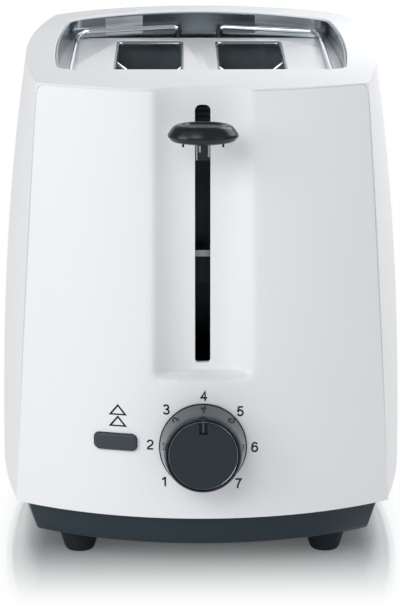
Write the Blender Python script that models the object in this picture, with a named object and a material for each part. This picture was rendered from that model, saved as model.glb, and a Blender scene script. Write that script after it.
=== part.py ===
# Two-slot pop-up toaster, in metres, +Z up.
# The origin is on the floor under the middle of the toaster. The lever end faces -Y and the
# crumb tray comes out at +Y. X runs across the two slots.

import math

import bmesh
import bpy
from mathutils import Matrix, Vector

for old in list(bpy.data.objects):
    bpy.data.objects.remove(old, do_unlink=True)

# Driving dimensions ---------------------------------------------------------------------------

GAP = 0.0003                  # clearance between neighbouring pieces
WALL = 0.0025                 # moulded plastic wall
SHEET = 0.0008                # pressed steel sheet
LINER = 0.0005                # thin steel band around the recess

FOOT_HEIGHT = 0.0094
BASE_BOTTOM = 0.0097
BODY_BOTTOM = 0.0228          # lower edge of the white body
CREASE = 0.1892               # where the side walls and end panels meet the crown
PLATE_TOP = 0.1810            # the steel plate around the slots

TOP_HALF_LENGTH = 0.1213      # body half length at the crease
LEAN = 0.0419                 # how much the end faces lean outwards, per unit of drop
END_RADIUS = 0.120            # plan radius of the bowed end faces
TOP_CORNER_WIDTH = 0.0640     # half width at the corners, at the crease and at the bottom
BOTTOM_CORNER_WIDTH = 0.0730
TOP_HALF_WIDTH = 0.0718       # half width at the middle of the sides
BOTTOM_HALF_WIDTH = 0.0830
PANEL_JOINT = 0.1030          # |Y| of the seam between the housing and its end panels

RECESS_HALF_LENGTH = 0.0875
RECESS_END_RADIUS = 0.146
RECESS_HALF_WIDTH = 0.0597
RECESS_SIDE_RADIUS = 0.857
RECESS_CORNER = 0.012

CHANNEL_HALF_WIDTH = 0.0187   # the finger channel that the lever runs in
CHANNEL_BACK = 0.1160         # |Y| of the channel's flat back
CHANNEL_BOTTOM = 0.0776
CHANNEL_LEDGE = 0.0800

SLOT_CENTRE = 0.0215          # bread slots, either side of the middle
SLOT_HALF_WIDTH = 0.0145
SLOT_HALF_LENGTH = 0.0685

LEVER_HEIGHT = 0.1750         # lever knob at rest; it travels 80 mm down
LEVER_SLOT = (0.0830, 0.1830)
LEVER_SLOT_HALF_WIDTH = 0.00285
KNOB_REACH = 0.1450           # |Y| of the outermost point of both lever knobs
KNOB_HALF_WIDTH = 0.0134
KNOB_HALF_DEPTH = 0.0100

RACK_KNOB_HEIGHT = 0.1200     # bun rack knob at rest; it travels 35 mm up
RACK_SLOT = (0.1135, 0.1615)
RACK_WIRE = 0.0010            # radius of the chrome wire
RACK_LEG_X = 0.0090
RACK_LEG_Y = 0.0815

DIAL_HEIGHT = 0.0517
DIAL_RADIUS = 0.0169
DIAL_DEPTH = 0.0165

BUTTON_X = -0.0338
BUTTON_Z = 0.0523
BUTTON_SIZE = (0.0164, 0.0063)
BUTTON_PROUD = 0.0016

BULKHEAD_FACE = 0.0740        # |Y| of the inner faces of the toasting chamber
GUARD_OFFSET = 0.0095         # guard wires from the middle of their slot
GUARD_PIVOT = 0.0310
GUARD_PITCH = 0.0450
FLARE_START = 0.1733
LIFTER_TOP = 0.1150

CARRIAGE_BACK = 0.0880        # |Y| of the carriage plate's inner face
ROD_X = 0.0140
ROD_Y = 0.0925
ROD_RADIUS = 0.0020

END_STEPS = 8                 # mesh steps along half an end, a corner and half a side
CORNER_STEPS = 2
SIDE_STEPS = 5

FINISHES = {                  # base colour, roughness, metallic
    "white_plastic": ((0.86, 0.87, 0.88), 0.35, 0.0),
    "dark_plastic": ((0.030, 0.034, 0.038), 0.40, 0.0),
    "rubber": ((0.020, 0.021, 0.023), 0.75, 0.0),
    "satin_steel": ((0.70, 0.71, 0.73), 0.32, 1.0),
    "zinc_steel": ((0.52, 0.54, 0.57), 0.42, 1.0),
    "chrome_wire": ((0.80, 0.81, 0.83), 0.10, 1.0),
    "mica": ((0.62, 0.56, 0.44), 0.60, 0.0),
    "circuit_board": ((0.05, 0.22, 0.10), 0.50, 0.0),
    "copper": ((0.72, 0.36, 0.20), 0.35, 1.0),
}


# Mesh helpers ---------------------------------------------------------------------------------

def add_object(name, mesh_data, finish, origin=(0.0, 0.0, 0.0), smooth=None):
    """Turn a bmesh into a named object whose origin is at the given point."""
    bmesh.ops.recalc_face_normals(mesh_data, faces=mesh_data.faces)
    bmesh.ops.translate(mesh_data, verts=mesh_data.verts, vec=-Vector(origin))
    mesh = bpy.data.meshes.new(name)
    mesh_data.to_mesh(mesh)
    mesh_data.free()
    if smooth is not None:
        mesh.shade_smooth()
        mesh.set_sharp_from_angle(angle=math.radians(smooth))
    obj = bpy.data.objects.new(name, mesh)
    obj.location = origin
    bpy.context.collection.objects.link(obj)
    if finish:
        obj.data.materials.append(new_material(name, finish))
    return obj


def new_material(name, finish):
    colour, roughness, metallic = FINISHES[finish]
    material = bpy.data.materials.new(name + "_" + finish)
    material.use_nodes = True
    shader = material.node_tree.nodes["Principled BSDF"]
    shader.inputs["Base Color"].default_value = (*colour, 1.0)
    shader.inputs["Roughness"].default_value = roughness
    shader.inputs["Metallic"].default_value = metallic
    material.diffuse_color = (*colour, 1.0)
    return material


def loft(loops, closed=False):
    """Skin a list of equal closed loops; a closed loft joins the last loop to the first."""
    mesh = bmesh.new()
    rings = [[mesh.verts.new(point) for point in loop] for loop in loops]
    pairs = list(zip(rings, rings[1:]))
    if closed:
        pairs.append((rings[-1], rings[0]))
    else:
        mesh.faces.new(rings[0])
        mesh.faces.new(rings[-1])
    for low, high in pairs:
        for i in range(len(low)):
            j = (i + 1) % len(low)
            mesh.faces.new((low[i], low[j], high[j], high[i]))
    return mesh


def prism(points, low, high, axis="Z"):
    """Extrude a plane outline along an axis, between two values on that axis."""
    def lift(point, value):
        a, b = point
        if axis == "X":
            return (value, a, b)
        if axis == "Y":
            return (a, value, b)
        return (a, b, value)
    return loft([[lift(p, low) for p in points], [lift(p, high) for p in points]])


def block(x, y, z):
    """A box between pairs of limits."""
    corners = [(x[0], y[0]), (x[1], y[0]), (x[1], y[1]), (x[0], y[1])]
    return prism(corners, z[0], z[1])


def blocks(boxes):
    """Several boxes as one mesh, for cutting or joining."""
    whole = bmesh.new()
    for x, y, z in boxes:
        append(whole, block(x, y, z))
    return whole


def append(whole, piece):
    """Add one bmesh to another."""
    mesh = bpy.data.meshes.new("piece")
    piece.to_mesh(mesh)
    piece.free()
    whole.from_mesh(mesh)
    bpy.data.meshes.remove(mesh)


def turned(profile, steps, centre=(0.0, 0.0, 0.0), axis="Z", ring=False):
    """Turn a list of (radius, height) about an axis; a ring is open in the middle."""
    loops = []
    for radius, height in profile:
        loop = []
        for i in range(steps):
            angle = 2.0 * math.pi * i / steps
            across, up = radius * math.cos(angle), radius * math.sin(angle)
            point = (across, up, height) if axis == "Z" else (across, height, up)
            loop.append(tuple(a + b for a, b in zip(point, centre)))
        loops.append(loop)
    return loft(loops, closed=ring)


def rounded_box(width, height, radius, centre=(0.0, 0.0), steps=3):
    """Outline of a rectangle with round corners."""
    points = []
    for turn, (sx, sy) in enumerate([(1, 1), (-1, 1), (-1, -1), (1, -1)]):
        cx = centre[0] + sx * (width / 2.0 - radius)
        cy = centre[1] + sy * (height / 2.0 - radius)
        for i in range(steps + 1):
            angle = math.pi / 2.0 * (turn + i / steps)
            points.append((cx + radius * math.cos(angle), cy + radius * math.sin(angle)))
    return points


def cut(obj, mesh_data, operation="DIFFERENCE"):
    """Cut an object with a hidden wire cutter, or join one to it."""
    cutter = add_object(obj.name + "_" + operation.lower(), mesh_data, None)
    cutter.hide_render = True
    cutter.display_type = "WIRE"
    modifier = obj.modifiers.new(operation.title(), "BOOLEAN")
    modifier.operation = operation
    modifier.solver = "EXACT"
    modifier.object = cutter
    return cutter


def wire(name, points, radius, finish, sides=2, origin=(0.0, 0.0, 0.0)):
    """A round wire along a run of points."""
    curve = bpy.data.curves.new(name, "CURVE")
    curve.dimensions = "3D"
    curve.bevel_depth = radius
    curve.bevel_resolution = sides
    curve.use_fill_caps = True
    spline = curve.splines.new("POLY")
    spline.points.add(len(points) - 1)
    for knot, point in zip(spline.points, points):
        knot.co = (*(Vector(point) - Vector(origin)), 1.0)
    obj = bpy.data.objects.new(name, curve)
    obj.location = origin
    bpy.context.collection.objects.link(obj)
    curve.materials.append(new_material(name, finish))
    return obj


def bend(points, radii, steps=4):
    """Round the inner corners of a run of points, one radius for each corner."""
    path = [Vector(points[0])]
    for before, corner, after, radius in zip(points, points[1:], points[2:], radii):
        corner = Vector(corner)
        to_before = (Vector(before) - corner).normalized()
        to_after = (Vector(after) - corner).normalized()
        half = to_before.angle(to_after) / 2.0
        reach = radius / math.tan(half)
        middle = corner + (to_before + to_after).normalized() * radius / math.sin(half)
        start = corner + to_before * reach - middle
        end = corner + to_after * reach - middle
        sweep = math.pi - 2.0 * half
        for i in range(steps + 1):
            turn = sweep * i / steps
            arm = start * math.sin(sweep - turn) + end * math.sin(turn)
            path.append(middle + arm / math.sin(sweep))
    path.append(Vector(points[-1]))
    return path


def parent_to(empty_name, location, children):
    """Gather pieces that move together under an empty on their joint's axis."""
    empty = bpy.data.objects.new(empty_name, None)
    empty.location = location
    bpy.context.collection.objects.link(empty)
    for child in children:
        child.parent = empty
        child.matrix_parent_inverse = Matrix.Translation(-Vector(location))
    return empty


# The body's plan ------------------------------------------------------------------------------

def outline(half_length, end_radius, half_width, side_radius, corner):
    """Closed plan outline of two bowed ends and two bowed sides with round corners."""
    end_centre = half_length - end_radius
    side_centre = half_width - side_radius
    # the corner's centre is where the end and side arcs cross when both move in by its radius
    a = end_radius - corner
    b = side_radius - corner
    apart = math.hypot(side_centre, end_centre)
    along = (a * a - b * b + apart * apart) / (2.0 * apart)
    off = math.sqrt(a * a - along * along)
    ux, uy = side_centre / apart, -end_centre / apart
    candidates = []
    for sign in (-1.0, 1.0):
        x = along * ux - sign * off * uy
        y = end_centre + along * uy + sign * off * ux
        candidates.append((x, y))
    cx, cy = max(candidates, key=lambda p: p[0] + p[1])
    end_angle = math.atan2(cx, cy - end_centre)
    side_angle = math.atan2(cy, cx - side_centre)
    quarter = []
    for i in range(END_STEPS):
        angle = end_angle * i / END_STEPS
        quarter.append((end_radius * math.sin(angle), end_centre + end_radius * math.cos(angle)))
    first = math.pi / 2.0 - end_angle
    for i in range(CORNER_STEPS):
        angle = first + (side_angle - first) * i / CORNER_STEPS
        quarter.append((cx + corner * math.cos(angle), cy + corner * math.sin(angle)))
    for i in range(SIDE_STEPS + 1):
        angle = side_angle * (1.0 - i / SIDE_STEPS)
        quarter.append((side_centre + side_radius * math.cos(angle), side_radius * math.sin(angle)))
    back = quarter[::-1]
    loop = quarter[:-1]
    loop += [(x, -y) for x, y in back[:-1]]
    loop += [(-x, -y) for x, y in quarter[:-1]]
    loop += [(-x, y) for x, y in back[:-1]]
    return loop


def body_half_length(z):
    return TOP_HALF_LENGTH + LEAN * (CREASE - z)


def body_corner_width(z):
    rise = max(0.0, (z - BODY_BOTTOM) / (CREASE - BODY_BOTTOM))
    return BOTTOM_CORNER_WIDTH - (BOTTOM_CORNER_WIDTH - TOP_CORNER_WIDTH) * rise ** 1.38


def body_half_width(z):
    rise = max(0.0, (z - 0.030) / (CREASE - 0.030))
    return BOTTOM_HALF_WIDTH - (BOTTOM_HALF_WIDTH - TOP_HALF_WIDTH) * rise ** 2.2


def body_loop(z, inset=0.0, height=None):
    """The body's section at height z, moved in by an inset and drawn at another height."""
    corner_width = body_corner_width(z)
    corner_y = body_half_length(z) - END_RADIUS + math.sqrt(END_RADIUS ** 2 - corner_width ** 2)
    bow = body_half_width(z) - corner_width
    side_radius = (corner_y ** 2 + bow ** 2) / (2.0 * bow)
    loop = outline(body_half_length(z) - inset, END_RADIUS - inset, body_half_width(z) - inset,
                   side_radius - inset, max(0.0020 - inset, 0.0004))
    return [(x, y, z if height is None else height) for x, y in loop]


def recess_loop(outset=0.0):
    return outline(RECESS_HALF_LENGTH + outset, RECESS_END_RADIUS + outset,
                   RECESS_HALF_WIDTH + outset, RECESS_SIDE_RADIUS + outset, RECESS_CORNER + outset)


def crown_height(x, y):
    """Top of the crown: a shallow dome that falls towards the sides and the ends."""
    side_fall = 0.0012 * (x / 0.048) ** 2
    end_fall = 2.2 * max(0.0, abs(y) - 0.087) ** 2
    return 0.1925 - side_fall - end_fall


def end_face(x, z, inset=0.0):
    """|Y| of an end face at (x, z)."""
    radius = END_RADIUS - inset
    return body_half_length(z) - END_RADIUS + math.sqrt(radius ** 2 - x ** 2)


def channel_depth(x, z):
    """How far the lever channel goes in behind the end face at (x, z)."""
    across = min(1.0, abs(x) / CHANNEL_HALF_WIDTH)
    depth = body_half_length(z) - CHANNEL_BACK
    return depth * (1.0 - across ** 3)


# Housing, end panels and base -----------------------------------------------------------------

def make_housing():
    levels = [BODY_BOTTOM, 0.045, 0.070, 0.095, 0.120, 0.145, 0.170, CREASE]
    loops = [body_loop(z) for z in levels]
    rim = body_loop(CREASE)
    inner = recess_loop()
    for share in (0.07, 0.5, 1.0):
        loop = []
        for (x, y, _), (rx, ry) in zip(rim, inner):
            px = x + (rx - x) * share
            py = y + (ry - y) * share
            loop.append((px, py, crown_height(px, py)))
        loops.append(loop)
    wall_foot = PLATE_TOP + GAP
    loops.append([(x, y, wall_foot) for x, y in inner])
    loops.append([(x, y, wall_foot) for x, y in recess_loop(0.0018)])
    loops.append([(x, y, CREASE - 0.0010) for x, y in recess_loop(0.0018)])
    loops.append(body_loop(CREASE, WALL, CREASE - WALL))
    for z in levels[-2::-1]:
        loops.append(body_loop(z, WALL))
    housing = add_object("housing", loft(loops, closed=True), "white_plastic", smooth=25)
    ends = [((-0.1, 0.1), (-0.15, -PANEL_JOINT), (0.0, CREASE))]
    ends.append(((-0.1, 0.1), (PANEL_JOINT, 0.15), (0.0, CREASE)))
    cut(housing, blocks(ends))
    # the lever channel runs up through the front of the crown
    scallop = []
    for i in range(13):
        x = CHANNEL_HALF_WIDTH * (i / 6.0 - 1.0)
        scallop.append((x, -end_face(x, CREASE) + channel_depth(x, CREASE)))
    scallop += [(CHANNEL_HALF_WIDTH, -0.130), (-CHANNEL_HALF_WIDTH, -0.130)]
    cut(housing, prism(scallop, CREASE - 0.004, CREASE + 0.010))


def panel_grid(rows, columns, edge_steps, side, with_channel):
    """A bowed end panel as a closed shell between an outer and an inner surface."""
    mesh = bmesh.new()
    skins = []
    for inset in (0.0, WALL):
        skin = []
        for row in rows:
            z = row[0]
            height = row[1] if inset else z
            arc = END_RADIUS - inset
            centre = body_half_length(z) - END_RADIUS
            edge = math.sqrt(arc ** 2 - (PANEL_JOINT + GAP - centre) ** 2)
            xs = list(columns)
            for i in range(1, edge_steps + 1):
                xs.append(columns[-1] + (edge - columns[-1]) * i / edge_steps)
                xs.insert(0, -xs[-1])
            line = []
            for x in xs:
                y = end_face(x, z, inset)
                if with_channel and row[2]:
                    y -= channel_depth(x, z)
                line.append(mesh.verts.new((x, side * y, height)))
            skin.append(line)
        skins.append(skin)
    outer, inner = skins
    last_row, last_column = len(outer) - 1, len(outer[0]) - 1
    for skin in skins:
        for i in range(last_row):
            for j in range(last_column):
                mesh.faces.new((skin[i][j], skin[i][j + 1], skin[i + 1][j + 1], skin[i + 1][j]))
    for i in (0, last_row):
        for j in range(last_column):
            mesh.faces.new((outer[i][j], outer[i][j + 1], inner[i][j + 1], inner[i][j]))
    for j in (0, last_column):
        for i in range(last_row):
            mesh.faces.new((outer[i][j], outer[i + 1][j], inner[i + 1][j], inner[i][j]))
    return mesh


def lever_opening(limits, y_limits):
    """Cutter for a round-ended vertical slot."""
    middle = (limits[0] + limits[1]) / 2.0
    shape = rounded_box(2.0 * LEVER_SLOT_HALF_WIDTH, limits[1] - limits[0], LEVER_SLOT_HALF_WIDTH - 0.0001,
                        (0.0, middle))
    return prism(shape, y_limits[0], y_limits[1], axis="Y")


def make_front_panel():
    # each row: outer height, inner height, and whether the channel is present
    rows = [(BODY_BOTTOM, BODY_BOTTOM, False), (0.050, 0.050, False),
            (CHANNEL_BOTTOM, CHANNEL_BOTTOM - 0.0024, False),
            (CHANNEL_LEDGE, CHANNEL_LEDGE - 0.0024, True),
            (0.110, 0.110, True), (0.140, 0.140, True), (0.170, 0.170, True),
            (CREASE - GAP, CREASE - GAP, True)]
    shares = (1.0, 0.92, 0.8, 0.6, 0.3)
    columns = [-CHANNEL_HALF_WIDTH * s for s in shares] + [0.0]
    columns += [CHANNEL_HALF_WIDTH * s for s in reversed(shares)]
    mesh = panel_grid(rows, columns, 4, -1.0, True)
    panel = add_object("front_panel", mesh, "white_plastic", smooth=25)
    cut(panel, lever_opening(LEVER_SLOT, (-0.132, -0.108)))
    centre = (0.0, -end_face(0.0, DIAL_HEIGHT), DIAL_HEIGHT)
    cut(panel, turned([(0.0036, -0.006), (0.0036, 0.008)], 16, centre, axis="Y"))
    button = rounded_box(BUTTON_SIZE[0] + 0.0006, BUTTON_SIZE[1] + 0.0006, 0.0023, (BUTTON_X, BUTTON_Z))
    cut(panel, prism(button, -0.132, -0.108, axis="Y"))


def make_rear_panel():
    levels = (BODY_BOTTOM, 0.065, 0.107, 0.148, CREASE - GAP)
    rows = [(z, z, False) for z in levels]
    columns = [0.012 * i for i in range(-2, 3)]
    mesh = panel_grid(rows, columns, 3, 1.0, False)
    panel = add_object("rear_panel", mesh, "white_plastic", smooth=25)
    cut(panel, lever_opening(RACK_SLOT, (0.110, 0.132)))


SCREW_SPOTS = [(sx * 0.055, sy * 0.068) for sy in (-1, 1) for sx in (-1, 1)]
GLAND_SPOT = (-0.060, 0.040)
TRAY_HALF_WIDTH = 0.0460
TRAY_BOTTOM = 0.0136
TRAY_TOP = 0.0207
BASE_FLOOR = 0.0133


def make_base():
    lip = BODY_BOTTOM + 0.0032
    section = [(0.0095, BASE_BOTTOM), (0.0080, BASE_BOTTOM + 0.0010), (0.0042, BODY_BOTTOM),
               (0.0042, lip), (0.0064, lip), (0.0100, BASE_FLOOR)]
    loops = [body_loop(BODY_BOTTOM, inset, height) for inset, height in section]
    base = add_object("base", loft(loops), "dark_plastic", smooth=25)
    bosses = bmesh.new()
    holes = bmesh.new()
    for x, y in SCREW_SPOTS:
        append(bosses, turned([(0.0045, BASE_FLOOR - 0.001), (0.0045, 0.0240)], 14, (x, y, 0.0)))
        stepped = [(0.0034, 0.0080), (0.0034, 0.0190), (0.0019, 0.0190), (0.0019, 0.0300)]
        append(holes, turned(stepped, 14, (x, y, 0.0)))
    append(holes, turned([(0.0042, 0.0080), (0.0042, 0.0160)], 16, (*GLAND_SPOT, 0.0)))
    cut(base, bosses, "UNION")
    cut(base, holes)
    cut(base, block((-TRAY_HALF_WIDTH - 0.0004, TRAY_HALF_WIDTH + 0.0004), (0.100, 0.140),
                    (TRAY_BOTTOM - 0.00015, TRAY_TOP + GAP)))


def make_feet():
    names = ["foot_front_left", "foot_front_right", "foot_rear_left", "foot_rear_right"]
    spots = [(sx * 0.049, sy * 0.093) for sy in (-1, 1) for sx in (-1, 1)]
    profile = [(0.0047, 0.0), (0.0058, 0.0010), (0.0084, FOOT_HEIGHT)]
    for name, (x, y) in zip(names, spots):
        add_object(name, turned(profile, 20, (x, y, 0.0)), "rubber", smooth=40)


def make_base_screws():
    profile = [(0.0030, 0.0168), (0.0030, 0.0188), (0.0015, 0.0188), (0.0015, 0.0300)]
    for index, (x, y) in enumerate(SCREW_SPOTS, start=1):
        add_object("base_screw_%d" % index, turned(profile, 12, (x, y, 0.0)), "zinc_steel", smooth=40)


def make_crumb_tray():
    handle_inset = 0.0070
    shape = [(-TRAY_HALF_WIDTH, -0.070), (TRAY_HALF_WIDTH, -0.070)]
    for i in range(9):
        x = TRAY_HALF_WIDTH * (1.0 - i / 4.0)
        shape.append((x, end_face(x, BODY_BOTTOM, handle_inset)))
    tray = add_object("crumb_tray", prism(shape, TRAY_BOTTOM, TRAY_TOP), "zinc_steel",
                      origin=(0.0, 0.020, TRAY_BOTTOM))
    inner = TRAY_HALF_WIDTH - SHEET
    cut(tray, block((-inner, inner), (-0.070 + SHEET, 0.104), (TRAY_BOTTOM + SHEET, 0.030)))


def make_cord_gland():
    profile = [(0.0031, 0.0082), (0.0055, 0.0082), (0.0055, 0.0094), (0.0039, 0.0094),
               (0.0039, 0.0150), (0.0031, 0.0150)]
    mesh = turned(profile, 16, (*GLAND_SPOT, 0.0), ring=True)
    add_object("cord_gland", mesh, "rubber", smooth=40)


# Toasting chamber -----------------------------------------------------------------------------

def make_top_plate():
    shape = [(x, max(-0.0785, min(0.0785, y))) for x, y in recess_loop(0.0010)]
    plate = add_object("top_plate", prism(shape, PLATE_TOP - SHEET, PLATE_TOP), "satin_steel")
    mouths = bmesh.new()
    for side in (-1.0, 1.0):
        mouth = rounded_box(2.0 * SLOT_HALF_WIDTH, 2.0 * SLOT_HALF_LENGTH, 0.0020,
                            (side * SLOT_CENTRE, 0.0))
        append(mouths, prism(mouth, 0.170, 0.190))
    cut(plate, mouths)


def make_recess_liner():
    """The polished steel band that lines the recess wall, from the plate to just under the lip."""
    loops = []
    for outset, at_rim in ((-GAP, False), (-GAP, True), (-GAP - LINER, True), (-GAP - LINER, False)):
        loops.append([(x, y, crown_height(x, y) - 0.0010 if at_rim else PLATE_TOP + GAP)
                      for x, y in recess_loop(outset)])
    add_object("recess_liner", loft(loops, closed=True), "satin_steel", smooth=25)


def make_bulkheads():
    top = PLATE_TOP - SHEET - GAP
    for name, side in (("front_bulkhead", -1.0), ("rear_bulkhead", 1.0)):
        profile = [(0.0600, 0.0243), (BULKHEAD_FACE + 0.0010, 0.0243), (BULKHEAD_FACE + 0.0010, top),
                   (BULKHEAD_FACE, top), (BULKHEAD_FACE, 0.0253), (0.0600, 0.0253)]
        shape = [(side * y, z) for y, z in profile]
        bulkhead = add_object(name, prism(shape, -0.0600, 0.0600, axis="X"), "zinc_steel")
        holes = bmesh.new()
        for x, y in SCREW_SPOTS:
            if y * side > 0.0:
                append(holes, turned([(0.0018, 0.0200), (0.0018, 0.0300)], 12, (x, y, 0.0)))
        if side < 0.0:
            for x in (-SLOT_CENTRE, SLOT_CENTRE):
                append(holes, block((x - 0.003, x + 0.003), (-0.080, -0.070), (0.0300, 0.1180)))
        cut(bulkhead, holes)


def make_chamber_walls():
    length = BULKHEAD_FACE - 0.0005
    for name, x, thickness, finish, limits in (
            ("reflector_left", -0.0504, SHEET, "satin_steel", (0.0270, 0.1795)),
            ("reflector_right", 0.0504, SHEET, "satin_steel", (0.0270, 0.1795)),
            ("heater_outer_left", -0.0418, SHEET, "mica", (0.0340, 0.1700)),
            ("heater_inner_left", -0.0030, SHEET, "mica", (0.0340, 0.1700)),
            ("heater_inner_right", 0.0030, SHEET, "mica", (0.0340, 0.1700)),
            ("heater_outer_right", 0.0418, SHEET, "mica", (0.0340, 0.1700))):
        half = thickness / 2.0
        add_object(name, block((x - half, x + half), (-length, length), limits), finish)


def make_guard(name, x, outward, first_bar):
    """A hinged wire guard: upright wires on five rails, with their tops flared outwards."""
    half = 0.0007
    bars = [first_bar + GUARD_PITCH * i for i in range(4) if first_bar + GUARD_PITCH * i < 0.060]
    columns = [(-0.0735, bars[0] - half, False)]
    for here, after in zip(bars, bars[1:] + [None]):
        columns.append((here - half, here + half, True))
        columns.append((here + half, after - half if after is not None else 0.0735, False))
    rails = (GUARD_PIVOT, 0.065, 0.100, 0.135, 0.168)
    rows = []
    for rail, after in zip(rails, rails[1:] + (None,)):
        rows.append((rail - half, rail + half, True))
        rows.append((rail + half, after - half if after else FLARE_START, False))
    rows.append((FLARE_START, 0.178, False))
    mesh = bmesh.new()
    seen = {}

    def corner(y, z):
        key = (round(y, 6), round(z, 6))
        if key not in seen:
            flare = max(0.0, z - FLARE_START) * 1.20
            seen[key] = mesh.verts.new((x + outward * flare, y, z))
        return seen[key]

    for left, right, is_bar in columns:
        for low, high, is_rail in rows:
            end_piece = left < bars[0] - half - 1e-6 or right > bars[-1] + half + 1e-6
            if is_bar or (is_rail and (not end_piece or low < GUARD_PIVOT)):
                mesh.faces.new((corner(left, low), corner(right, low),
                                corner(right, high), corner(left, high)))
    skin = list(mesh.faces)
    grown = bmesh.ops.extrude_face_region(mesh, geom=skin, use_keep_orig=True)
    moved = [item for item in grown["geom"] if isinstance(item, bmesh.types.BMVert)]
    bmesh.ops.translate(mesh, verts=moved, vec=(half, 0.0, 0.0))
    still = [vert for vert in mesh.verts if vert not in set(moved)]
    bmesh.ops.translate(mesh, verts=still, vec=(-half, 0.0, 0.0))
    return add_object(name, mesh, "zinc_steel", origin=(x, 0.0, GUARD_PIVOT))


def make_guards():
    for side, word in ((-1.0, "left"), (1.0, "right")):
        centre = side * SLOT_CENTRE
        make_guard("guard_outer_" + word, centre + side * GUARD_OFFSET, side, -0.0585)
        make_guard("guard_inner_" + word, centre - side * GUARD_OFFSET, -side, -0.0695)


# Carriage and lever ---------------------------------------------------------------------------

def make_lifter(name, x):
    """A comb of cross fingers on a strip, with a tongue that reaches the carriage."""
    spine, tongue, reach = 0.0030, 0.0020, 0.0072
    right = [(tongue, -CARRIAGE_BACK + GAP), (tongue, -0.0720), (spine, -0.0715)]
    for i in range(9):
        y = 0.0165 * (i - 4)
        right += [(spine, y - 0.001), (reach, y - 0.001), (reach, y + 0.001), (spine, y + 0.001)]
    right.append((spine, 0.0715))
    shape = [(x + a, b) for a, b in right] + [(x - a, b) for a, b in reversed(right)]
    return add_object(name, prism(shape, LIFTER_TOP - 0.0016, LIFTER_TOP), "zinc_steel",
                      origin=(x, 0.0, LIFTER_TOP))


def make_knob(name, side, height, neck_end):
    """A saucer-shaped thumb knob with a neck that goes in through its slot."""
    centre_y = KNOB_REACH - KNOB_HALF_DEPTH
    profile = [(0.62, -0.0040), (0.88, -0.0030), (1.0, -0.0006), (0.98, 0.0006), (0.72, 0.0036),
               (0.62, 0.0040)]
    loops = []
    for share, rise in profile:
        loop = []
        for i in range(24):
            angle = 2.0 * math.pi * i / 24
            x = KNOB_HALF_WIDTH * share * math.cos(angle)
            y = side * (centre_y + KNOB_HALF_DEPTH * share * math.sin(angle))
            loop.append((x, y, height + rise))
        loops.append(loop)
    knob = add_object(name, loft(loops), "dark_plastic", origin=(0.0, side * centre_y, height), smooth=35)
    low, high = sorted((side * neck_end, side * centre_y))
    neck = block((-0.0024, 0.0024), (low, high), (height - 0.0036, height + 0.0036))
    cutter = cut(knob, neck, "UNION")
    cutter.parent = knob
    cutter.matrix_parent_inverse = Matrix.Translation(-knob.location)
    return knob


def make_carriage():
    plate_y = (-CARRIAGE_BACK - 0.0015, -CARRIAGE_BACK)
    tee = [(-0.027, 0.108), (0.027, 0.108), (0.027, 0.120), (0.008, 0.120), (0.008, 0.180),
           (-0.008, 0.180), (-0.008, 0.120), (-0.027, 0.120)]
    carriage = add_object("carriage", prism(tee, plate_y[0], plate_y[1], axis="Y"), "zinc_steel")
    bushes = [((sx * ROD_X - 0.004, sx * ROD_X + 0.004), (-0.096, -CARRIAGE_BACK - 0.001),
               (0.109, 0.119)) for sx in (-1, 1)]
    cut(carriage, blocks(bushes), "UNION")
    bores = bmesh.new()
    for sx in (-1, 1):
        append(bores, turned([(ROD_RADIUS + GAP, 0.100), (ROD_RADIUS + GAP, 0.130)], 14,
                             (sx * ROD_X, -ROD_Y, 0.0)))
    cut(carriage, bores)
    arm = add_object("lever_arm", block((-0.0010, 0.0010), (-0.1081, plate_y[0] - GAP), (0.170, 0.180)),
                     "zinc_steel")
    slider = add_object("lever_slider", block((-0.0050, 0.0050), (-0.1130, -0.1084), (0.161, 0.189)),
                        "dark_plastic")
    grooves = [((-0.006, 0.006), (-0.114, -0.1122), (z, z + 0.0012)) for z in (0.1805, 0.1830, 0.1855)]
    cut(slider, blocks(grooves))
    armature = add_object("armature", block((-0.007, 0.007), (-0.1010, plate_y[0] - GAP), (0.1210, 0.1235)),
                          "zinc_steel")
    knob = make_knob("lever_knob", -1.0, LEVER_HEIGHT, 0.1133)
    left = make_lifter("lifter_left", -SLOT_CENTRE)
    right = make_lifter("lifter_right", SLOT_CENTRE)
    parent_to("carriage_axis", (0.0, -ROD_Y, LIFTER_TOP),
              [carriage, arm, slider, armature, knob, left, right])


def make_carriage_guides():
    for sx, word in ((-1, "left"), (1, "right")):
        rod = turned([(ROD_RADIUS, 0.0140), (ROD_RADIUS, 0.1237)], 14, (sx * ROD_X, -ROD_Y, 0.0))
        add_object("guide_rod_" + word, rod, "chrome_wire", smooth=40)
        x = sorted((sx * 0.0105, sx * 0.0185))
        bracket = block(x, (-0.097, -BULKHEAD_FACE - 0.0013), (0.1240, 0.1255))
        add_object("rod_bracket_" + word, bracket, "zinc_steel")
    anchor = block((0.0195, 0.0265), (-0.097, -BULKHEAD_FACE - 0.0013), (0.1730, 0.1745))
    add_object("spring_anchor", anchor, "zinc_steel")


def make_lift_spring():
    """A tension spring between the carriage's crossbar and its anchor."""
    low, high = 0.1206, 0.1724
    turns, per_turn, radius = 9, 10, 0.0026
    points = []
    for i in range(turns * per_turn + 1):
        angle = 2.0 * math.pi * i / per_turn
        z = low + (high - low) * i / (turns * per_turn)
        points.append((0.0230 + radius * math.cos(angle), -ROD_Y + radius * math.sin(angle), z))
    wire("lift_spring", points, 0.0004, "zinc_steel", sides=0)


def make_magnet():
    x, y = 0.0, -0.0970
    mount = block((x - 0.008, x + 0.008), (y - 0.0065, y + 0.0065), (BASE_FLOOR + GAP, 0.0263))
    add_object("magnet_mount", mount, "dark_plastic")
    add_object("magnet_core", turned([(0.0030, 0.0266), (0.0030, 0.0406)], 16, (x, y, 0.0)), "zinc_steel",
               smooth=40)
    ring = [(0.0033, 0.0280), (0.0062, 0.0280), (0.0062, 0.0390), (0.0033, 0.0390)]
    add_object("magnet_coil", turned(ring, 16, (x, y, 0.0), ring=True), "copper", smooth=40)


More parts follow.
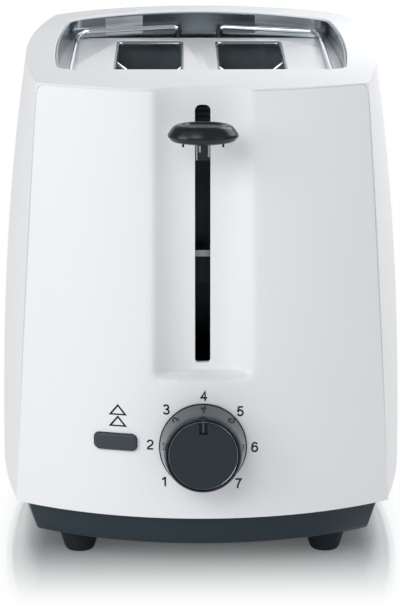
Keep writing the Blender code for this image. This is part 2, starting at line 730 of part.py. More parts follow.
# Controls -------------------------------------------------------------------------------------

def make_controls():
    board = block((-0.050, 0.026), (-0.1070, -0.1055), (0.0265, 0.0740))
    add_object("control_board", board, "circuit_board")
    switch = block((BUTTON_X - 0.0031, BUTTON_X + 0.0031), (-0.1109, -0.1073),
                   (BUTTON_Z - 0.0031, BUTTON_Z + 0.0031))
    add_object("cancel_switch", switch, "dark_plastic")

    # the button's face follows the bowed panel; a flange behind keeps it in
    face = rounded_box(BUTTON_SIZE[0], BUTTON_SIZE[1], 0.0020, (BUTTON_X, BUTTON_Z), steps=4)
    back_y = -0.1138
    loops = [[(x, -end_face(x, z) - BUTTON_PROUD, z) for x, z in face], [(x, back_y, z) for x, z in face]]
    button = add_object("cancel_button", loft(loops), "dark_plastic", origin=(BUTTON_X, back_y, BUTTON_Z))
    flange = rounded_box(0.0200, 0.0090, 0.0020, (BUTTON_X, BUTTON_Z))
    cut(button, prism(flange, back_y - 0.0012, back_y - 0.0001, axis="Y"), "UNION")


def make_dial():
    """The browning dial, its shaft and the potentiometer, on an axis square to the leaning panel."""
    steps = 32
    profile = [(0.0033, 0.0006), (DIAL_RADIUS - 0.0004, 0.0006), (DIAL_RADIUS, 0.0012), (0.0158, 0.0090),
               (0.0149, 0.0152), (0.0142, 0.0162), (0.0134, DIAL_DEPTH), (0.0126, DIAL_DEPTH),
               (0.0123, 0.0159), (0.0117, 0.0159), (0.0114, 0.0164), (0.0033, 0.0164)]
    profile = [(radius, -depth) for radius, depth in profile]
    skirt = turned(profile, steps, axis="Y", ring=True)
    dial = add_object("browning_dial", skirt, "dark_plastic", smooth=30)
    hub = turned([(0.0040, -0.0142), (0.0040, -0.0164)], 16, axis="Y")
    plug = cut(dial, hub, "UNION")
    pointer = block((-0.0019, 0.0019), (-0.0175, -0.0154), (0.0092, 0.0160))
    mark = cut(dial, pointer)
    shaft = add_object("dial_shaft", turned([(0.0030, 0.0078), (0.0030, -0.0135)], 16, axis="Y"),
                       "zinc_steel", smooth=40)
    pot = add_object("potentiometer", turned([(0.0085, 0.0081), (0.0085, 0.0190)], 24, axis="Y"),
                     "zinc_steel", smooth=40)
    axis = parent_to("dial_axis", (0.0, 0.0, 0.0), [dial, plug, mark, shaft, pot])
    axis.location = (0.0, -end_face(0.0, DIAL_HEIGHT), DIAL_HEIGHT)
    axis.rotation_euler = (-math.atan(LEAN), 0.0, 0.0)


# Bun rack -------------------------------------------------------------------------------------

def make_bun_rack():
    pieces = []
    for side, word in ((-1.0, "left"), (1.0, "right")):
        route = [(RACK_LEG_X, RACK_LEG_Y, 0.1140), (RACK_LEG_X, RACK_LEG_Y, 0.1855),
                 (0.0500, 0.0765, 0.1842), (0.0530, 0.0680, 0.1832), (0.0530, -0.0680, 0.1832),
                 (0.0500, -0.0765, 0.1842), (RACK_LEG_X, -RACK_LEG_Y, 0.1855),
                 (RACK_LEG_X, -RACK_LEG_Y, 0.1080)]
        radii = (0.0025, 0.0035, 0.0035, 0.0035, 0.0035, 0.0025)
        points = [(side * x, y, z) for x, y, z in bend(route, radii)]
        pieces.append(wire("rack_wire_" + word, points, RACK_WIRE, "chrome_wire", sides=1,
                           origin=(side * RACK_LEG_X, RACK_LEG_Y, 0.1140)))
    slider_y = (0.0785, 0.0860)
    slider = add_object("rack_slider", block((-0.013, 0.013), slider_y, (0.112, 0.128)), "dark_plastic")
    bores = bmesh.new()
    for sx in (-1, 1):
        append(bores, turned([(RACK_WIRE + GAP, 0.1137), (RACK_WIRE + GAP, 0.140)], 12,
                             (sx * RACK_LEG_X, RACK_LEG_Y, 0.0)))
    cut(slider, bores)
    arm_end = 0.1180
    arm = add_object("rack_arm", block((-0.0016, 0.0016), (slider_y[1] + GAP, arm_end), (0.1165, 0.1235)),
                     "zinc_steel")
    knob = make_knob("rack_knob", 1.0, RACK_KNOB_HEIGHT, arm_end + GAP)
    parent_to("rack_axis", (0.0, RACK_LEG_Y, 0.1140), pieces + [slider, arm, knob])
    for name, y, z in (("rack_guide_front", (-0.086, -BULKHEAD_FACE - 0.0013), (0.150, 0.153)),
                       ("rack_guide_rear", (BULKHEAD_FACE + 0.0013, 0.086), (0.165, 0.168))):
        guide = add_object(name, block((-0.013, 0.013), y, z), "dark_plastic")
        bores = bmesh.new()
        leg_y = math.copysign(RACK_LEG_Y, y[0])
        for sx in (-1, 1):
            append(bores, turned([(RACK_WIRE + GAP, z[0] - 0.005), (RACK_WIRE + GAP, z[1] + 0.005)], 12,
                                 (sx * RACK_LEG_X, leg_y, 0.0)))
        cut(guide, bores)


make_housing()
make_front_panel()
make_rear_panel()
make_base()
make_feet()
make_base_screws()
make_crumb_tray()
make_cord_gland()
make_top_plate()
make_recess_liner()
make_bulkheads()
make_chamber_walls()
make_guards()
make_carriage()
make_carriage_guides()
make_lift_spring()
make_magnet()
make_controls()
make_dial()
make_bun_rack()
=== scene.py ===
# Pop-up toaster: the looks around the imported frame. Metres, +Z up, lever end towards -Y.
import bisect
from math import atan, atan2, cos, hypot, pi, radians, sin, sqrt, tan

import bmesh
import bpy
from mathutils import Matrix, Vector


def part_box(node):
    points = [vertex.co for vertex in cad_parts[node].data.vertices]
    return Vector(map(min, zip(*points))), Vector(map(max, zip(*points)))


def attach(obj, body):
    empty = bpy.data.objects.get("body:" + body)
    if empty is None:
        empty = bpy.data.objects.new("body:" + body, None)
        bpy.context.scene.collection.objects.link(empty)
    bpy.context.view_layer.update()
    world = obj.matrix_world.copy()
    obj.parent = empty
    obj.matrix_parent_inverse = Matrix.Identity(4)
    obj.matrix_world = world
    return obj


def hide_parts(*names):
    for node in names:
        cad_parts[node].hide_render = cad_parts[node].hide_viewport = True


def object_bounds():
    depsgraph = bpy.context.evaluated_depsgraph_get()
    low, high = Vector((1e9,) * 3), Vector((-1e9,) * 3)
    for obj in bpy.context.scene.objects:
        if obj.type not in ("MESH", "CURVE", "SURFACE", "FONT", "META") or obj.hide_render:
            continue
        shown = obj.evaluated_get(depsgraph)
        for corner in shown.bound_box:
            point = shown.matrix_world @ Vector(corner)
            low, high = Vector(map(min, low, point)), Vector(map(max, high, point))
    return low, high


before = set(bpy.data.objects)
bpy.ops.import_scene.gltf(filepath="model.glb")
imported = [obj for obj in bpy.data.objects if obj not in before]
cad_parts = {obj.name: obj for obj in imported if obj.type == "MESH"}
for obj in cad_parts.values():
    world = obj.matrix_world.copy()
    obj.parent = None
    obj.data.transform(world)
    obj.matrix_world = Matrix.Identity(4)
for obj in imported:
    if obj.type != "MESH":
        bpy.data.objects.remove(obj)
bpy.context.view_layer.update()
scene = bpy.context.scene
scene.view_settings.view_transform = "Standard"


# node helpers and the shader node groups, each used by several materials

def addNode(tree, kind, links=(), **settings):
    node = tree.nodes.new("ShaderNode" + kind)
    for key, value in settings.items():
        setattr(node, key, value)
    for socket, source in links:
        if isinstance(source, (int, float, tuple)):
            node.inputs[socket].default_value = source
        else:
            tree.links.new(source, node.inputs[socket])
    return node


def maths(tree, operation, *sources):
    return addNode(tree, "Math", enumerate(sources), operation=operation).outputs[0]


def noise(tree, vector, scale, detail):
    node = addNode(tree, "TexNoise", [("Vector", vector), ("Scale", scale), ("Detail", detail)])
    return node.outputs["Fac"]


def ramp(tree, value, start, end, low=0.0, high=1.0):
    # runs softly from low to high as the value goes from start to end
    links = [("Value", value), ("From Min", start), ("From Max", end), ("To Min", low), ("To Max", high)]
    return addNode(tree, "MapRange", links, interpolation_type="SMOOTHSTEP").outputs["Result"]


def newGroup(name, inputs):
    # every group takes a place and a colour, and gives a colour, a roughness and a normal
    group = bpy.data.node_groups.new(name, "ShaderNodeTree")
    kinds = {0: "Float", 3: "Vector", 4: "Color"}
    for label, value in {"Vector": (0, 0, 0), "Colour": (1, 1, 1, 1), **inputs}.items():
        kind = kinds[len(value) if isinstance(value, tuple) else 0]
        socket = group.interface.new_socket(name=label, in_out="INPUT", socket_type="NodeSocket" + kind)
        socket.default_value = value
    for label, kind in (("Colour", "Color"), ("Roughness", "Float"), ("Normal", "Vector")):
        group.interface.new_socket(name=label, in_out="OUTPUT", socket_type="NodeSocket" + kind)
    return group, group.nodes.new("NodeGroupInput").outputs


def closeGroup(group, colour, roughness, height, strength, distance):
    bump = addNode(group, "Bump", [("Height", height), ("Strength", strength), ("Distance", distance)])
    end = group.nodes.new("NodeGroupOutput").inputs
    for label, source in (("Colour", colour), ("Roughness", roughness), ("Normal", bump.outputs[0])):
        group.links.new(source, end[label])
    return group


def clouded(group, colour, cloud, share):
    # the colour made lighter and darker by a cloud that runs round zero
    shade = maths(group, "MULTIPLY_ADD", cloud, share, 1.0)
    return addNode(group, "VectorMath", [(0, colour), ("Scale", shade)], operation="SCALE").outputs[0]


def grainGroup():
    # moulded plastic: a fine spark-eroded grain, faint flow mottling and a slightly uneven gloss
    group, take = newGroup("mouldedGrain", {"Mottle": 0.03, "Grain Size": 2500.0, "Grain Depth": 0.02,
                                            "Gloss": 0.3, "Gloss Spread": 0.05})
    cloud = maths(group, "SUBTRACT", noise(group, take["Vector"], 38.0, 4.0), 0.5)
    fine = noise(group, take["Vector"], take["Grain Size"], 2.0)
    both = maths(group, "ADD", cloud, fine)
    return closeGroup(group, clouded(group, take["Colour"], cloud, take["Mottle"]),
                      maths(group, "MULTIPLY_ADD", both, take["Gloss Spread"], take["Gloss"]),
                      fine, take["Grain Depth"], 0.0004)


def rolledGroup():
    # sheet and wire: rolling marks drawn out along one direction, with cloudy patches in the finish
    group, take = newGroup("rolledMetal", {"Stretch": (30, 1200, 1200), "Patches": 0.1, "Lines": 0.1,
                                           "Line Depth": 0.05, "Gloss": 0.3})
    drawn = addNode(group, "VectorMath", [(0, take["Vector"]), (1, take["Stretch"])], operation="MULTIPLY")
    lines = noise(group, drawn.outputs[0], 1.0, 3.0)
    patch = maths(group, "SUBTRACT", noise(group, take["Vector"], 90.0, 5.0), 0.5)
    streak = maths(group, "MULTIPLY_ADD", lines, take["Lines"], take["Gloss"])
    return closeGroup(group, clouded(group, take["Colour"], patch, take["Patches"]),
                      maths(group, "MULTIPLY_ADD", patch, take["Patches"], streak),
                      lines, take["Line Depth"], 0.0003)


def flakeGroup():
    # flakes and fibres of a second colour pressed into a board
    group, take = newGroup("pressedFlakes", {"Flake Colour": (1, 1, 1, 1), "Flake Size": 300.0, "Share": 0.5,
                                             "Relief": 0.1})
    flakes = addNode(group, "TexVoronoi", [("Vector", take["Vector"]), ("Scale", take["Flake Size"])])
    mask = maths(group, "MULTIPLY", flakes.outputs["Color"], noise(group, take["Vector"], 160.0, 6.0))
    mix = addNode(group, "MixRGB", [("Fac", maths(group, "MULTIPLY", mask, take["Share"])),
                                    ("Color1", take["Colour"]), ("Color2", take["Flake Colour"])])
    return closeGroup(group, mix.outputs[0], maths(group, "MULTIPLY_ADD", mask, 0.3, 0.35),
                      mask, take["Relief"], 0.0003)


def newMaterial(name, group, values):
    # values go to the group's inputs, or else to the shader's own sockets
    material = bpy.data.materials.new(name)
    material.use_nodes = True
    tree = material.node_tree
    shader = tree.nodes["Principled BSDF"]
    place = addNode(tree, "TexCoord")
    effect = addNode(tree, "Group", node_tree=group)
    tree.links.new(place.outputs["Object"], effect.inputs["Vector"])
    for label, socket in (("Colour", "Base Color"), ("Roughness", "Roughness"), ("Normal", "Normal")):
        tree.links.new(effect.outputs[label], shader.inputs[socket])
    for label, value in values.items():
        holder = effect if label in effect.inputs else shader
        holder.inputs[label].default_value = value
    material.diffuse_color = values["Colour"]
    return material


# each table: the group, the names of its values, then a row for each finish
plastics = (grainGroup(), ("Mottle", "Grain Size", "Grain Depth", "Gloss", "Gloss Spread",
                           "Specular IOR Level"), {
    "whiteShell": ((0.80, 0.815, 0.835), 0.015, 3200.0, 0.05, 0.40, 0.03, 0.38),
    "anthracite": ((0.013, 0.026, 0.035), 0.25, 2600.0, 0.16, 0.36, 0.08, 0.28),
    "glossAnthracite": ((0.009, 0.018, 0.025), 0.15, 3000.0, 0.02, 0.12, 0.04, 0.34),
    # the skirt row is the dial's dark plastic made lighter and glossier: painted sheen on the dial's skirt
    # and pointer rib
    "litSkirtPlastic": ((0.030, 0.044, 0.052), 0.15, 3000.0, 0.02, 0.10, 0.04, 0.5),
    "innerPlastic": ((0.010, 0.011, 0.012), 0.3, 1800.0, 0.2, 0.42, 0.15, 0.28),
    "keyPlastic": ((0.040, 0.052, 0.063), 0.15, 2600.0, 0.10, 0.34, 0.06, 0.28),
    "knobPlastic": ((0.006, 0.010, 0.014), 0.15, 3000.0, 0.03, 0.20, 0.05, 0.38),
    "softRubber": ((0.007, 0.011, 0.014), 0.4, 1500.0, 0.4, 0.62, 0.15, 0.28),
    "printInk": ((0.006, 0.007, 0.009), 0.3, 2600.0, 0.05, 0.45, 0.1, 0.28),
})
metals = (rolledGroup(), ("Stretch", "Patches", "Lines", "Line Depth", "Gloss", "Metallic"), {
    "satinPlate": ((0.83, 0.84, 0.85), (1400, 40, 1400), 0.06, 0.14, 0.10, 0.24, 0.45),
    "polishedBand": ((0.32, 0.36, 0.395), (40, 40, 1600), 0.05, 0.04, 0.012, 0.20, 1.0),
    "darkBand": ((0.20, 0.235, 0.265), (40, 40, 1600), 0.06, 0.04, 0.012, 0.22, 1.0),
    # pale band below: a painted reflection on the rear wall of the recess
    "paleReflection": ((0.74, 0.78, 0.80), (40, 40, 1600), 0.05, 0.04, 0.012, 0.24, 1.0),
    "zincSheet": ((0.40, 0.42, 0.45), (500, 500, 60), 0.22, 0.12, 0.08, 0.30, 1.0),
    # shaded steel below: chamber steel darkened and tinted blue, painted shade for the dim inside of the
    # bread slots
    "shadedSteel": ((0.28, 0.36, 0.42), (1300, 1300, 25), 0.12, 0.06, 0.04, 0.20, 0.75),
    # near-black steel below: painted shade for steel parts that sit in the dark inside the body
    "paintedShadeSteel": ((0.030, 0.034, 0.038), (600, 600, 90), 0.15, 0.12, 0.06, 0.30, 1.0),
    "brightWire": ((0.62, 0.64, 0.67), (900, 60, 900), 0.08, 0.08, 0.03, 0.16, 1.0),
    "chrome": ((0.80, 0.82, 0.85), (700, 50, 700), 0.02, 0.03, 0.01, 0.06, 1.0),
    "heaterRibbon": ((0.36, 0.34, 0.33), (60, 900, 900), 0.25, 0.15, 0.05, 0.35, 1.0),
    "copperWinding": ((0.62, 0.27, 0.13), (60, 60, 5200), 0.15, 0.20, 0.60, 0.25, 1.0),
})
boards = (flakeGroup(), ("Flake Colour", "Flake Size", "Share", "Relief", "Coat Weight"), {
    "micaCard": ((0.52, 0.45, 0.33), (0.86, 0.80, 0.66, 1), 420.0, 0.9, 0.25, 0.2),
    "greenBoard": ((0.012, 0.10, 0.04), (0.30, 0.42, 0.22, 1), 520.0, 0.35, 0.08, 0.2),
})
finishes = {}
for group, labels, rows in (plastics, metals, boards):
    for name, (colour, *numbers) in rows.items():
        values = {"Colour": (*colour, 1), **dict(zip(labels, numbers))}
        finishes[name] = newMaterial(name, group, values)
print("materials:", len(finishes))


# the body's shape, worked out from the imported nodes

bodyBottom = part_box("housing")[0].z
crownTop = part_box("housing")[1].z
crease = crownTop - 0.0033
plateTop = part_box("top_plate")[1].z
seamGap = 0.0003
lineGap = 0.00010      # what is left open at the panels' edges
shape = {
    "topHalfLength": 0.1213, "lean": 0.0419, "endRadius": 0.120,
    "topCornerWidth": 0.0640, "bottomCornerWidth": 0.0730, "cornerTaper": 1.38,
    "topHalfWidth": 0.0718, "bottomHalfWidth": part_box("housing")[1].x, "taperFrom": 0.030, "sideTaper": 2.2,
    "panelJoint": 0.1030, "cornerRadius": 0.0020, "crownCorner": 0.0048,
    "wall": 0.0025, "panelCorner": 0.0026,
}
crown = {"sideFall": 0.0012, "fallAt": 0.048, "endsFrom": 0.087, "endFall": 2.2, "backAt": 0.09,
         "backDrop": 0.0003, "backFall": 0.36, "lipDepth": 0.0010}
recess = {"halfLength": 0.0875, "endRadius": 0.146, "halfWidth": 0.0597, "sideRadius": 0.857,
          "corner": 0.012}
channel = {"halfWidth": 0.0187, "back": 0.1160, "foot": 0.0776, "ledge": 0.0800, "softness": 0.16,
           "arch": 0.0009, "runOut": 0.006, "reach": 0.032}
steps = {"end": 72, "corner": 8, "side": 22}


def outline(halfLength, endRadius, halfWidth, sideRadius, corner):
    # two bowed ends and two bowed sides joined by round corners, from the middle of the +Y end
    endCentre = halfLength - endRadius
    sideCentre = halfWidth - sideRadius
    a, b = endRadius - corner, sideRadius - corner
    apart = hypot(sideCentre, endCentre)
    along = (a * a - b * b + apart * apart) / (2 * apart)
    off = sqrt(a * a - along * along)
    ux, uy = sideCentre / apart, -endCentre / apart
    spots = [(along * ux - s * off * uy, endCentre + along * uy + s * off * ux) for s in (-1, 1)]
    cx, cy = max(spots, key=sum)
    endAngle = atan2(cx, cy - endCentre)
    sideAngle = atan2(cy, cx - sideCentre)
    first = pi / 2 - endAngle
    quarter = []
    for i in range(steps["end"]):
        angle = endAngle * i / steps["end"]
        quarter.append((endRadius * sin(angle), endCentre + endRadius * cos(angle)))
    for i in range(steps["corner"]):
        angle = first + (sideAngle - first) * i / steps["corner"]
        quarter.append((cx + corner * cos(angle), cy + corner * sin(angle)))
    for i in range(steps["side"] + 1):
        angle = sideAngle * (1 - i / steps["side"])
        quarter.append((sideCentre + sideRadius * cos(angle), sideRadius * sin(angle)))
    back = quarter[::-1]
    loop = quarter[:-1] + [(x, -y) for x, y in back[:-1]]
    return loop + [(-x, -y) for x, y in quarter[:-1]] + [(-x, y) for x, y in back[:-1]]


def halfLengthAt(z):
    return shape["topHalfLength"] + shape["lean"] * (crease - z)


def cornerWidthAt(z):
    rise = max(0.0, (z - bodyBottom) / (crease - bodyBottom))
    narrower = (shape["bottomCornerWidth"] - shape["topCornerWidth"]) * rise ** shape["cornerTaper"]
    return shape["bottomCornerWidth"] - narrower


def halfWidthAt(z):
    rise = max(0.0, (z - shape["taperFrom"]) / (crease - shape["taperFrom"]))
    narrower = (shape["bottomHalfWidth"] - shape["topHalfWidth"]) * rise ** shape["sideTaper"]
    return shape["bottomHalfWidth"] - narrower


def bodyLoop(z, inset=0.0, corner=None):
    cornerWidth = cornerWidthAt(z)
    cornerY = halfLengthAt(z) - shape["endRadius"] + sqrt(shape["endRadius"] ** 2 - cornerWidth ** 2)
    bow = halfWidthAt(z) - cornerWidth
    sideRadius = (cornerY ** 2 + bow ** 2) / (2 * bow)
    corner = shape["cornerRadius"] if corner is None else corner
    return outline(halfLengthAt(z) - inset, shape["endRadius"] - inset, halfWidthAt(z) - inset,
                   sideRadius - inset, max(corner - inset, 0.0004))


def sideAt(z, y, corner):
    # |x| of the long side, with its rounded corner, at a given y
    points = sorted((b, a) for a, b in bodyLoop(z, corner=corner) if a > 0)
    place = min(max(bisect.bisect_left(points, (y, 0)), 1), len(points) - 1)
    (y0, x0), (y1, x1) = points[place - 1], points[place]
    return x0 + (x1 - x0) * (y - y0) / (y1 - y0)


def recessLoop(outset=0.0):
    return outline(*[size + outset for size in recess.values()])


def recessRim(x, y):
    # where the band in the recess ends, just under the crown's lip
    return crownHeight(x, y) - crown["lipDepth"]


def crownHeight(x, y):
    back = max(0.0, min(1.0, y / crown["backAt"])) ** 2
    ends = crown["endFall"] * max(0.0, abs(y) - crown["endsFrom"]) ** 2
    drop = crown["sideFall"] * (x / crown["fallAt"]) ** 2 + ends
    return crownTop - drop - back * (crown["backDrop"] + crown["backFall"] * x * x)


def rearDip(x, y):
    # how far the seam has to fall to stay under the crown at its rear corners
    return min(0.0, recessRim(x, y) - crease) if y > 0 else 0.0


def endFace(x, z, inset=0.0):
    radius = shape["endRadius"] - inset
    return halfLengthAt(z) - shape["endRadius"] + sqrt(radius ** 2 - x ** 2)


def channelShare(x):
    # 1 on the channel's back, running out softly to 0 at its edges
    flat = 1 - (abs(x) / channel["halfWidth"]) ** 3
    soft = channel["softness"]
    share = (flat + sqrt(flat * flat + soft * soft)) / 2 - channel["runOut"]
    return max(0.0, share) if abs(x) < channel["reach"] else 0.0


def channelDepth(x, z):
    depth = halfLengthAt(z) - channel["back"]
    rise = (z - channel["foot"]) / (channel["ledge"] - channel["foot"])
    ease = min(1.0, max(0.0, rise))
    return depth * channelShare(x) * ease * ease * (3 - 2 * ease)


def archAt(x):
    # the seam under the crown rises over the channel and drops round the panel's top corners
    inside = abs(x) / channel["halfWidth"]
    return channel["arch"] * (1 - inside * inside) if inside < 1 else 0.0


def cornerDrop(x, edge):
    radius = shape["panelCorner"]
    past = min(radius, max(0.0, abs(x) - (edge - radius)))
    return radius - sqrt(radius * radius - past * past)


def panelEdge(z):
    # |x| where the bowed panel meets its side seam
    centre = halfLengthAt(z) - shape["endRadius"]
    return sqrt(shape["endRadius"] ** 2 - (shape["panelJoint"] + lineGap - centre) ** 2)


# mesh helpers

def newPiece(name, mesh, finish, body, replaced=(), smooth=35):
    # turns a bmesh or a mesh into a piece that rides on a body
    if isinstance(mesh, bmesh.types.BMesh):
        data = bpy.data.meshes.new(name)
        bmesh.ops.recalc_face_normals(mesh, faces=mesh.faces)
        mesh.to_mesh(data)
        mesh.free()
    else:
        data = mesh
    data.materials.clear()
    data.materials.append(finishes[finish])
    data.shade_smooth()
    data.set_sharp_from_angle(angle=radians(smooth))
    piece = bpy.data.objects.new(name, data)
    scene.collection.objects.link(piece)
    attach(piece, body)
    if replaced:
        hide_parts(*replaced)
    return piece


def weave(mesh, rings, closed=True):
    # quads between rows of vertices; closed joins the ends of each row
    count = len(rings[0])
    for low, high in zip(rings, rings[1:]):
        for i in range(count if closed else count - 1):
            j = (i + 1) % count
            mesh.faces.new((low[i], low[j], high[j], high[i]))


def skin(rows, closed=False, mesh=None):
    # the same between rows of points
    mesh = mesh or bmesh.new()
    rings = [[mesh.verts.new(point) for point in row] for row in rows]
    weave(mesh, rings, closed)
    return mesh, rings


def loft(loops, ring=False):
    # a closed body from loops: capped, or joined first to last
    mesh, rings = skin(loops, closed=True)
    if ring:
        weave(mesh, [rings[-1], rings[0]])
    else:
        mesh.faces.new(rings[0])
        mesh.faces.new(rings[-1])
    return mesh


def turned(profile, count, place, ring=False):
    # (radius, height) about Z, then moved by a matrix
    angles = [2 * pi * i / count for i in range(count)]
    return loft([[place @ Vector((radius * cos(a), radius * sin(a), height)) for a in angles]
                 for radius, height in profile], ring)


def upright(x, y):
    # the place of a round piece that stands at x, y
    return Matrix.Translation((x, y, 0))


def rounded(profile, radius, bits=4):
    # rounds the inner corners of an open profile of 2-D points
    result = [profile[0]]
    for before, here, after in zip(profile, profile[1:], profile[2:]):
        a, b, c = Vector(before), Vector(here), Vector(after)
        reach = min(radius, (a - b).length * 0.48, (c - b).length * 0.48)
        start, end = b + (a - b).normalized() * reach, b + (c - b).normalized() * reach
        for i in range(bits + 1):
            t = i / bits
            point = start * (1 - t) ** 2 + b * 2 * t * (1 - t) + end * t * t
            result.append((point.x, point.y))
    result.append(profile[-1])
    return result


def roundedBox(width, height, radius, centre=(0, 0), count=6):
    points = []
    for turn, (sx, sy) in enumerate([(1, 1), (-1, 1), (-1, -1), (1, -1)]):
        for i in range(count + 1):
            angle = pi / 2 * (turn + i / count)
            points.append((centre[0] + sx * (width / 2 - radius) + radius * cos(angle),
                           centre[1] + sy * (height / 2 - radius) + radius * sin(angle)))
    return points


def prism(points, low, high, axis="Z"):
    def lift(point, value):
        a, b = point
        return {"X": (value, a, b), "Y": (a, value, b), "Z": (a, b, value)}[axis]
    return loft([[lift(p, low) for p in points], [lift(p, high) for p in points]])


def faceOut(mesh, towards):
    # an open skin's faces are turned so that they look the way that towards says
    bmesh.ops.recalc_face_normals(mesh, faces=mesh.faces)
    if sum(face.normal.dot(towards(face.calc_center_median())) for face in mesh.faces) < 0:
        bmesh.ops.reverse_faces(mesh, faces=mesh.faces)
    return mesh


def asObject(mesh, tidy=True):
    if tidy:
        bmesh.ops.recalc_face_normals(mesh, faces=mesh.faces)
    data = bpy.data.meshes.new("tool")
    mesh.to_mesh(data)
    mesh.free()
    obj = bpy.data.objects.new("tool", data)
    scene.collection.objects.link(obj)
    return obj


def worked(mesh, cuts=(), joins=(), wall=0.0, edge=0.0, angle=40, bits=3):
    # wall thickness, cuts, joins and softened edges, all applied, as one mesh
    body = asObject(mesh, tidy=not wall)
    if wall:
        shell = body.modifiers.new("wall", "SOLIDIFY")
        shell.thickness = wall
        shell.offset = -1
        shell.use_even_offset = True
    tools = []
    for operation, group in (("DIFFERENCE", cuts), ("UNION", joins)):
        for tool in group:
            tools.append(asObject(tool))
            step = body.modifiers.new("cut", "BOOLEAN")
            step.operation, step.solver, step.object = operation, "EXACT", tools[-1]
    if edge:
        soft = body.modifiers.new("edge", "BEVEL")
        soft.width, soft.segments = edge, bits
        soft.limit_method, soft.angle_limit = "ANGLE", radians(angle)
        soft.use_clamp_overlap = True
    bpy.context.view_layer.update()
    result = bpy.data.meshes.new_from_object(body.evaluated_get(bpy.context.evaluated_depsgraph_get()))
    for obj in [body, *tools]:
        bpy.data.objects.remove(obj, do_unlink=True)
    return result


def tube(points, radius, count=12, mesh=None):
    # a round wire along points, with domed ends
    mesh = mesh or bmesh.new()
    points = [Vector(p) for p in points]
    ahead, behind = points[1:] + points[-1:], points[:1] + points[:-1]
    tangents = [(after - before).normalized() for before, after in zip(behind, ahead)]
    side = tangents[0].orthogonal().normalized()
    rings = []
    for i, (point, along) in enumerate(zip(points, tangents)):
        side = (side - along * side.dot(along)).normalized()
        across = along.cross(side)
        sizes = [(0.0, 1.0)]
        if i == 0:
            sizes = [(-0.7, 0.45), (-0.4, 0.85), (0.0, 1.0)]
        elif i == len(points) - 1:
            sizes = [(0.0, 1.0), (0.4, 0.85), (0.7, 0.45)]
        for shift, size in sizes:
            ring = []
            for k in range(count):
                angle = 2 * pi * k / count
                arm = side * cos(angle) + across * sin(angle)
                ring.append(mesh.verts.new(point + along * shift * radius + arm * radius * size))
            rings.append(ring)
    weave(mesh, rings)
    mesh.faces.new(rings[0][::-1])
    mesh.faces.new(rings[-1])
    return mesh


def bend(points, radii, bits=8):
    # rounds the corners of a wire's route, one radius for each inner corner
    path = [Vector(points[0])]
    for before, corner, after, radius in zip(points, points[1:], points[2:], radii):
        corner = Vector(corner)
        toBefore = (Vector(before) - corner).normalized()
        toAfter = (Vector(after) - corner).normalized()
        half = toBefore.angle(toAfter) / 2
        reach = radius / tan(half)
        middle = corner + (toBefore + toAfter).normalized() * radius / sin(half)
        start = corner + toBefore * reach - middle
        end = corner + toAfter * reach - middle
        sweep = pi - 2 * half
        for i in range(bits + 1):
            turn = sweep * i / bits
            arm = start * sin(sweep - turn) + end * sin(turn)
            path.append(middle + arm / sin(sweep))
    path.append(Vector(points[-1]))
    return path


# housing: side walls, crown and the wall of the recess in one moulding

def crownRings(values, rim):
    # from the seam over the edge, across the dome and down over the lip into the recess
    inner = recessLoop()
    edge = panelEdge(crease)
    skirt = []
    for x, y in rim:
        front = y < 0
        overPanel = abs(y) > shape["panelJoint"] - values["endBand"]
        onEnd = overPanel or (front and abs(x) < channel["halfWidth"])
        drop = cornerDrop(x, edge) if onEnd else 0.0
        arch = archAt(x) if front and onEnd else 0.0
        skirt.append((x, y, crease + min(arch - drop, rearDip(x, y))))
    rings = [skirt]
    for k in range(7):
        theta = pi / 2 * k / 6
        ring = []
        for (x, y), (rx, ry), low in zip(rim, inner, skirt):
            reach = hypot(rx - x, ry - y)
            top = crownHeight(x, y)
            under = top - max(low[2], crease + rearDip(x, y)) - values["clear"]
            radius = max(values["leastRadius"], under)
            share = radius * (1 - cos(theta)) / reach
            px, py = x + (rx - x) * share, y + (ry - y) * share
            ring.append((px, py, crownHeight(px, py) - radius * (1 - sin(theta))))
        rings.append(ring)
    lip = values["lipRadius"]
    for k in range(1, values["crownSteps"] + 1):
        ring = []
        for (x, y), (rx, ry), (sx, sy, _) in zip(rim, inner, rings[7]):
            reach = hypot(rx - sx, ry - sy)
            share = (1 - lip / reach) * k / values["crownSteps"]
            px, py = sx + (rx - sx) * share, sy + (ry - sy) * share
            ring.append((px, py, crownHeight(px, py)))
        rings.append(ring)
    for k in range(1, 6):
        theta = pi / 2 * k / 5
        ring = []
        for (rx, ry), (sx, sy, _) in zip(inner, rings[-k]):
            arm = Vector((rx - sx, ry - sy)).normalized() * lip * (1 - sin(theta))
            ring.append((rx - arm.x, ry - arm.y, crownHeight(rx, ry) - lip * (1 - cos(theta))))
        rings.append(ring)
    for rise in (0.006, 0.003, seamGap):
        rings.append([(x, y, plateTop + rise) for x, y in inner])
    return rings


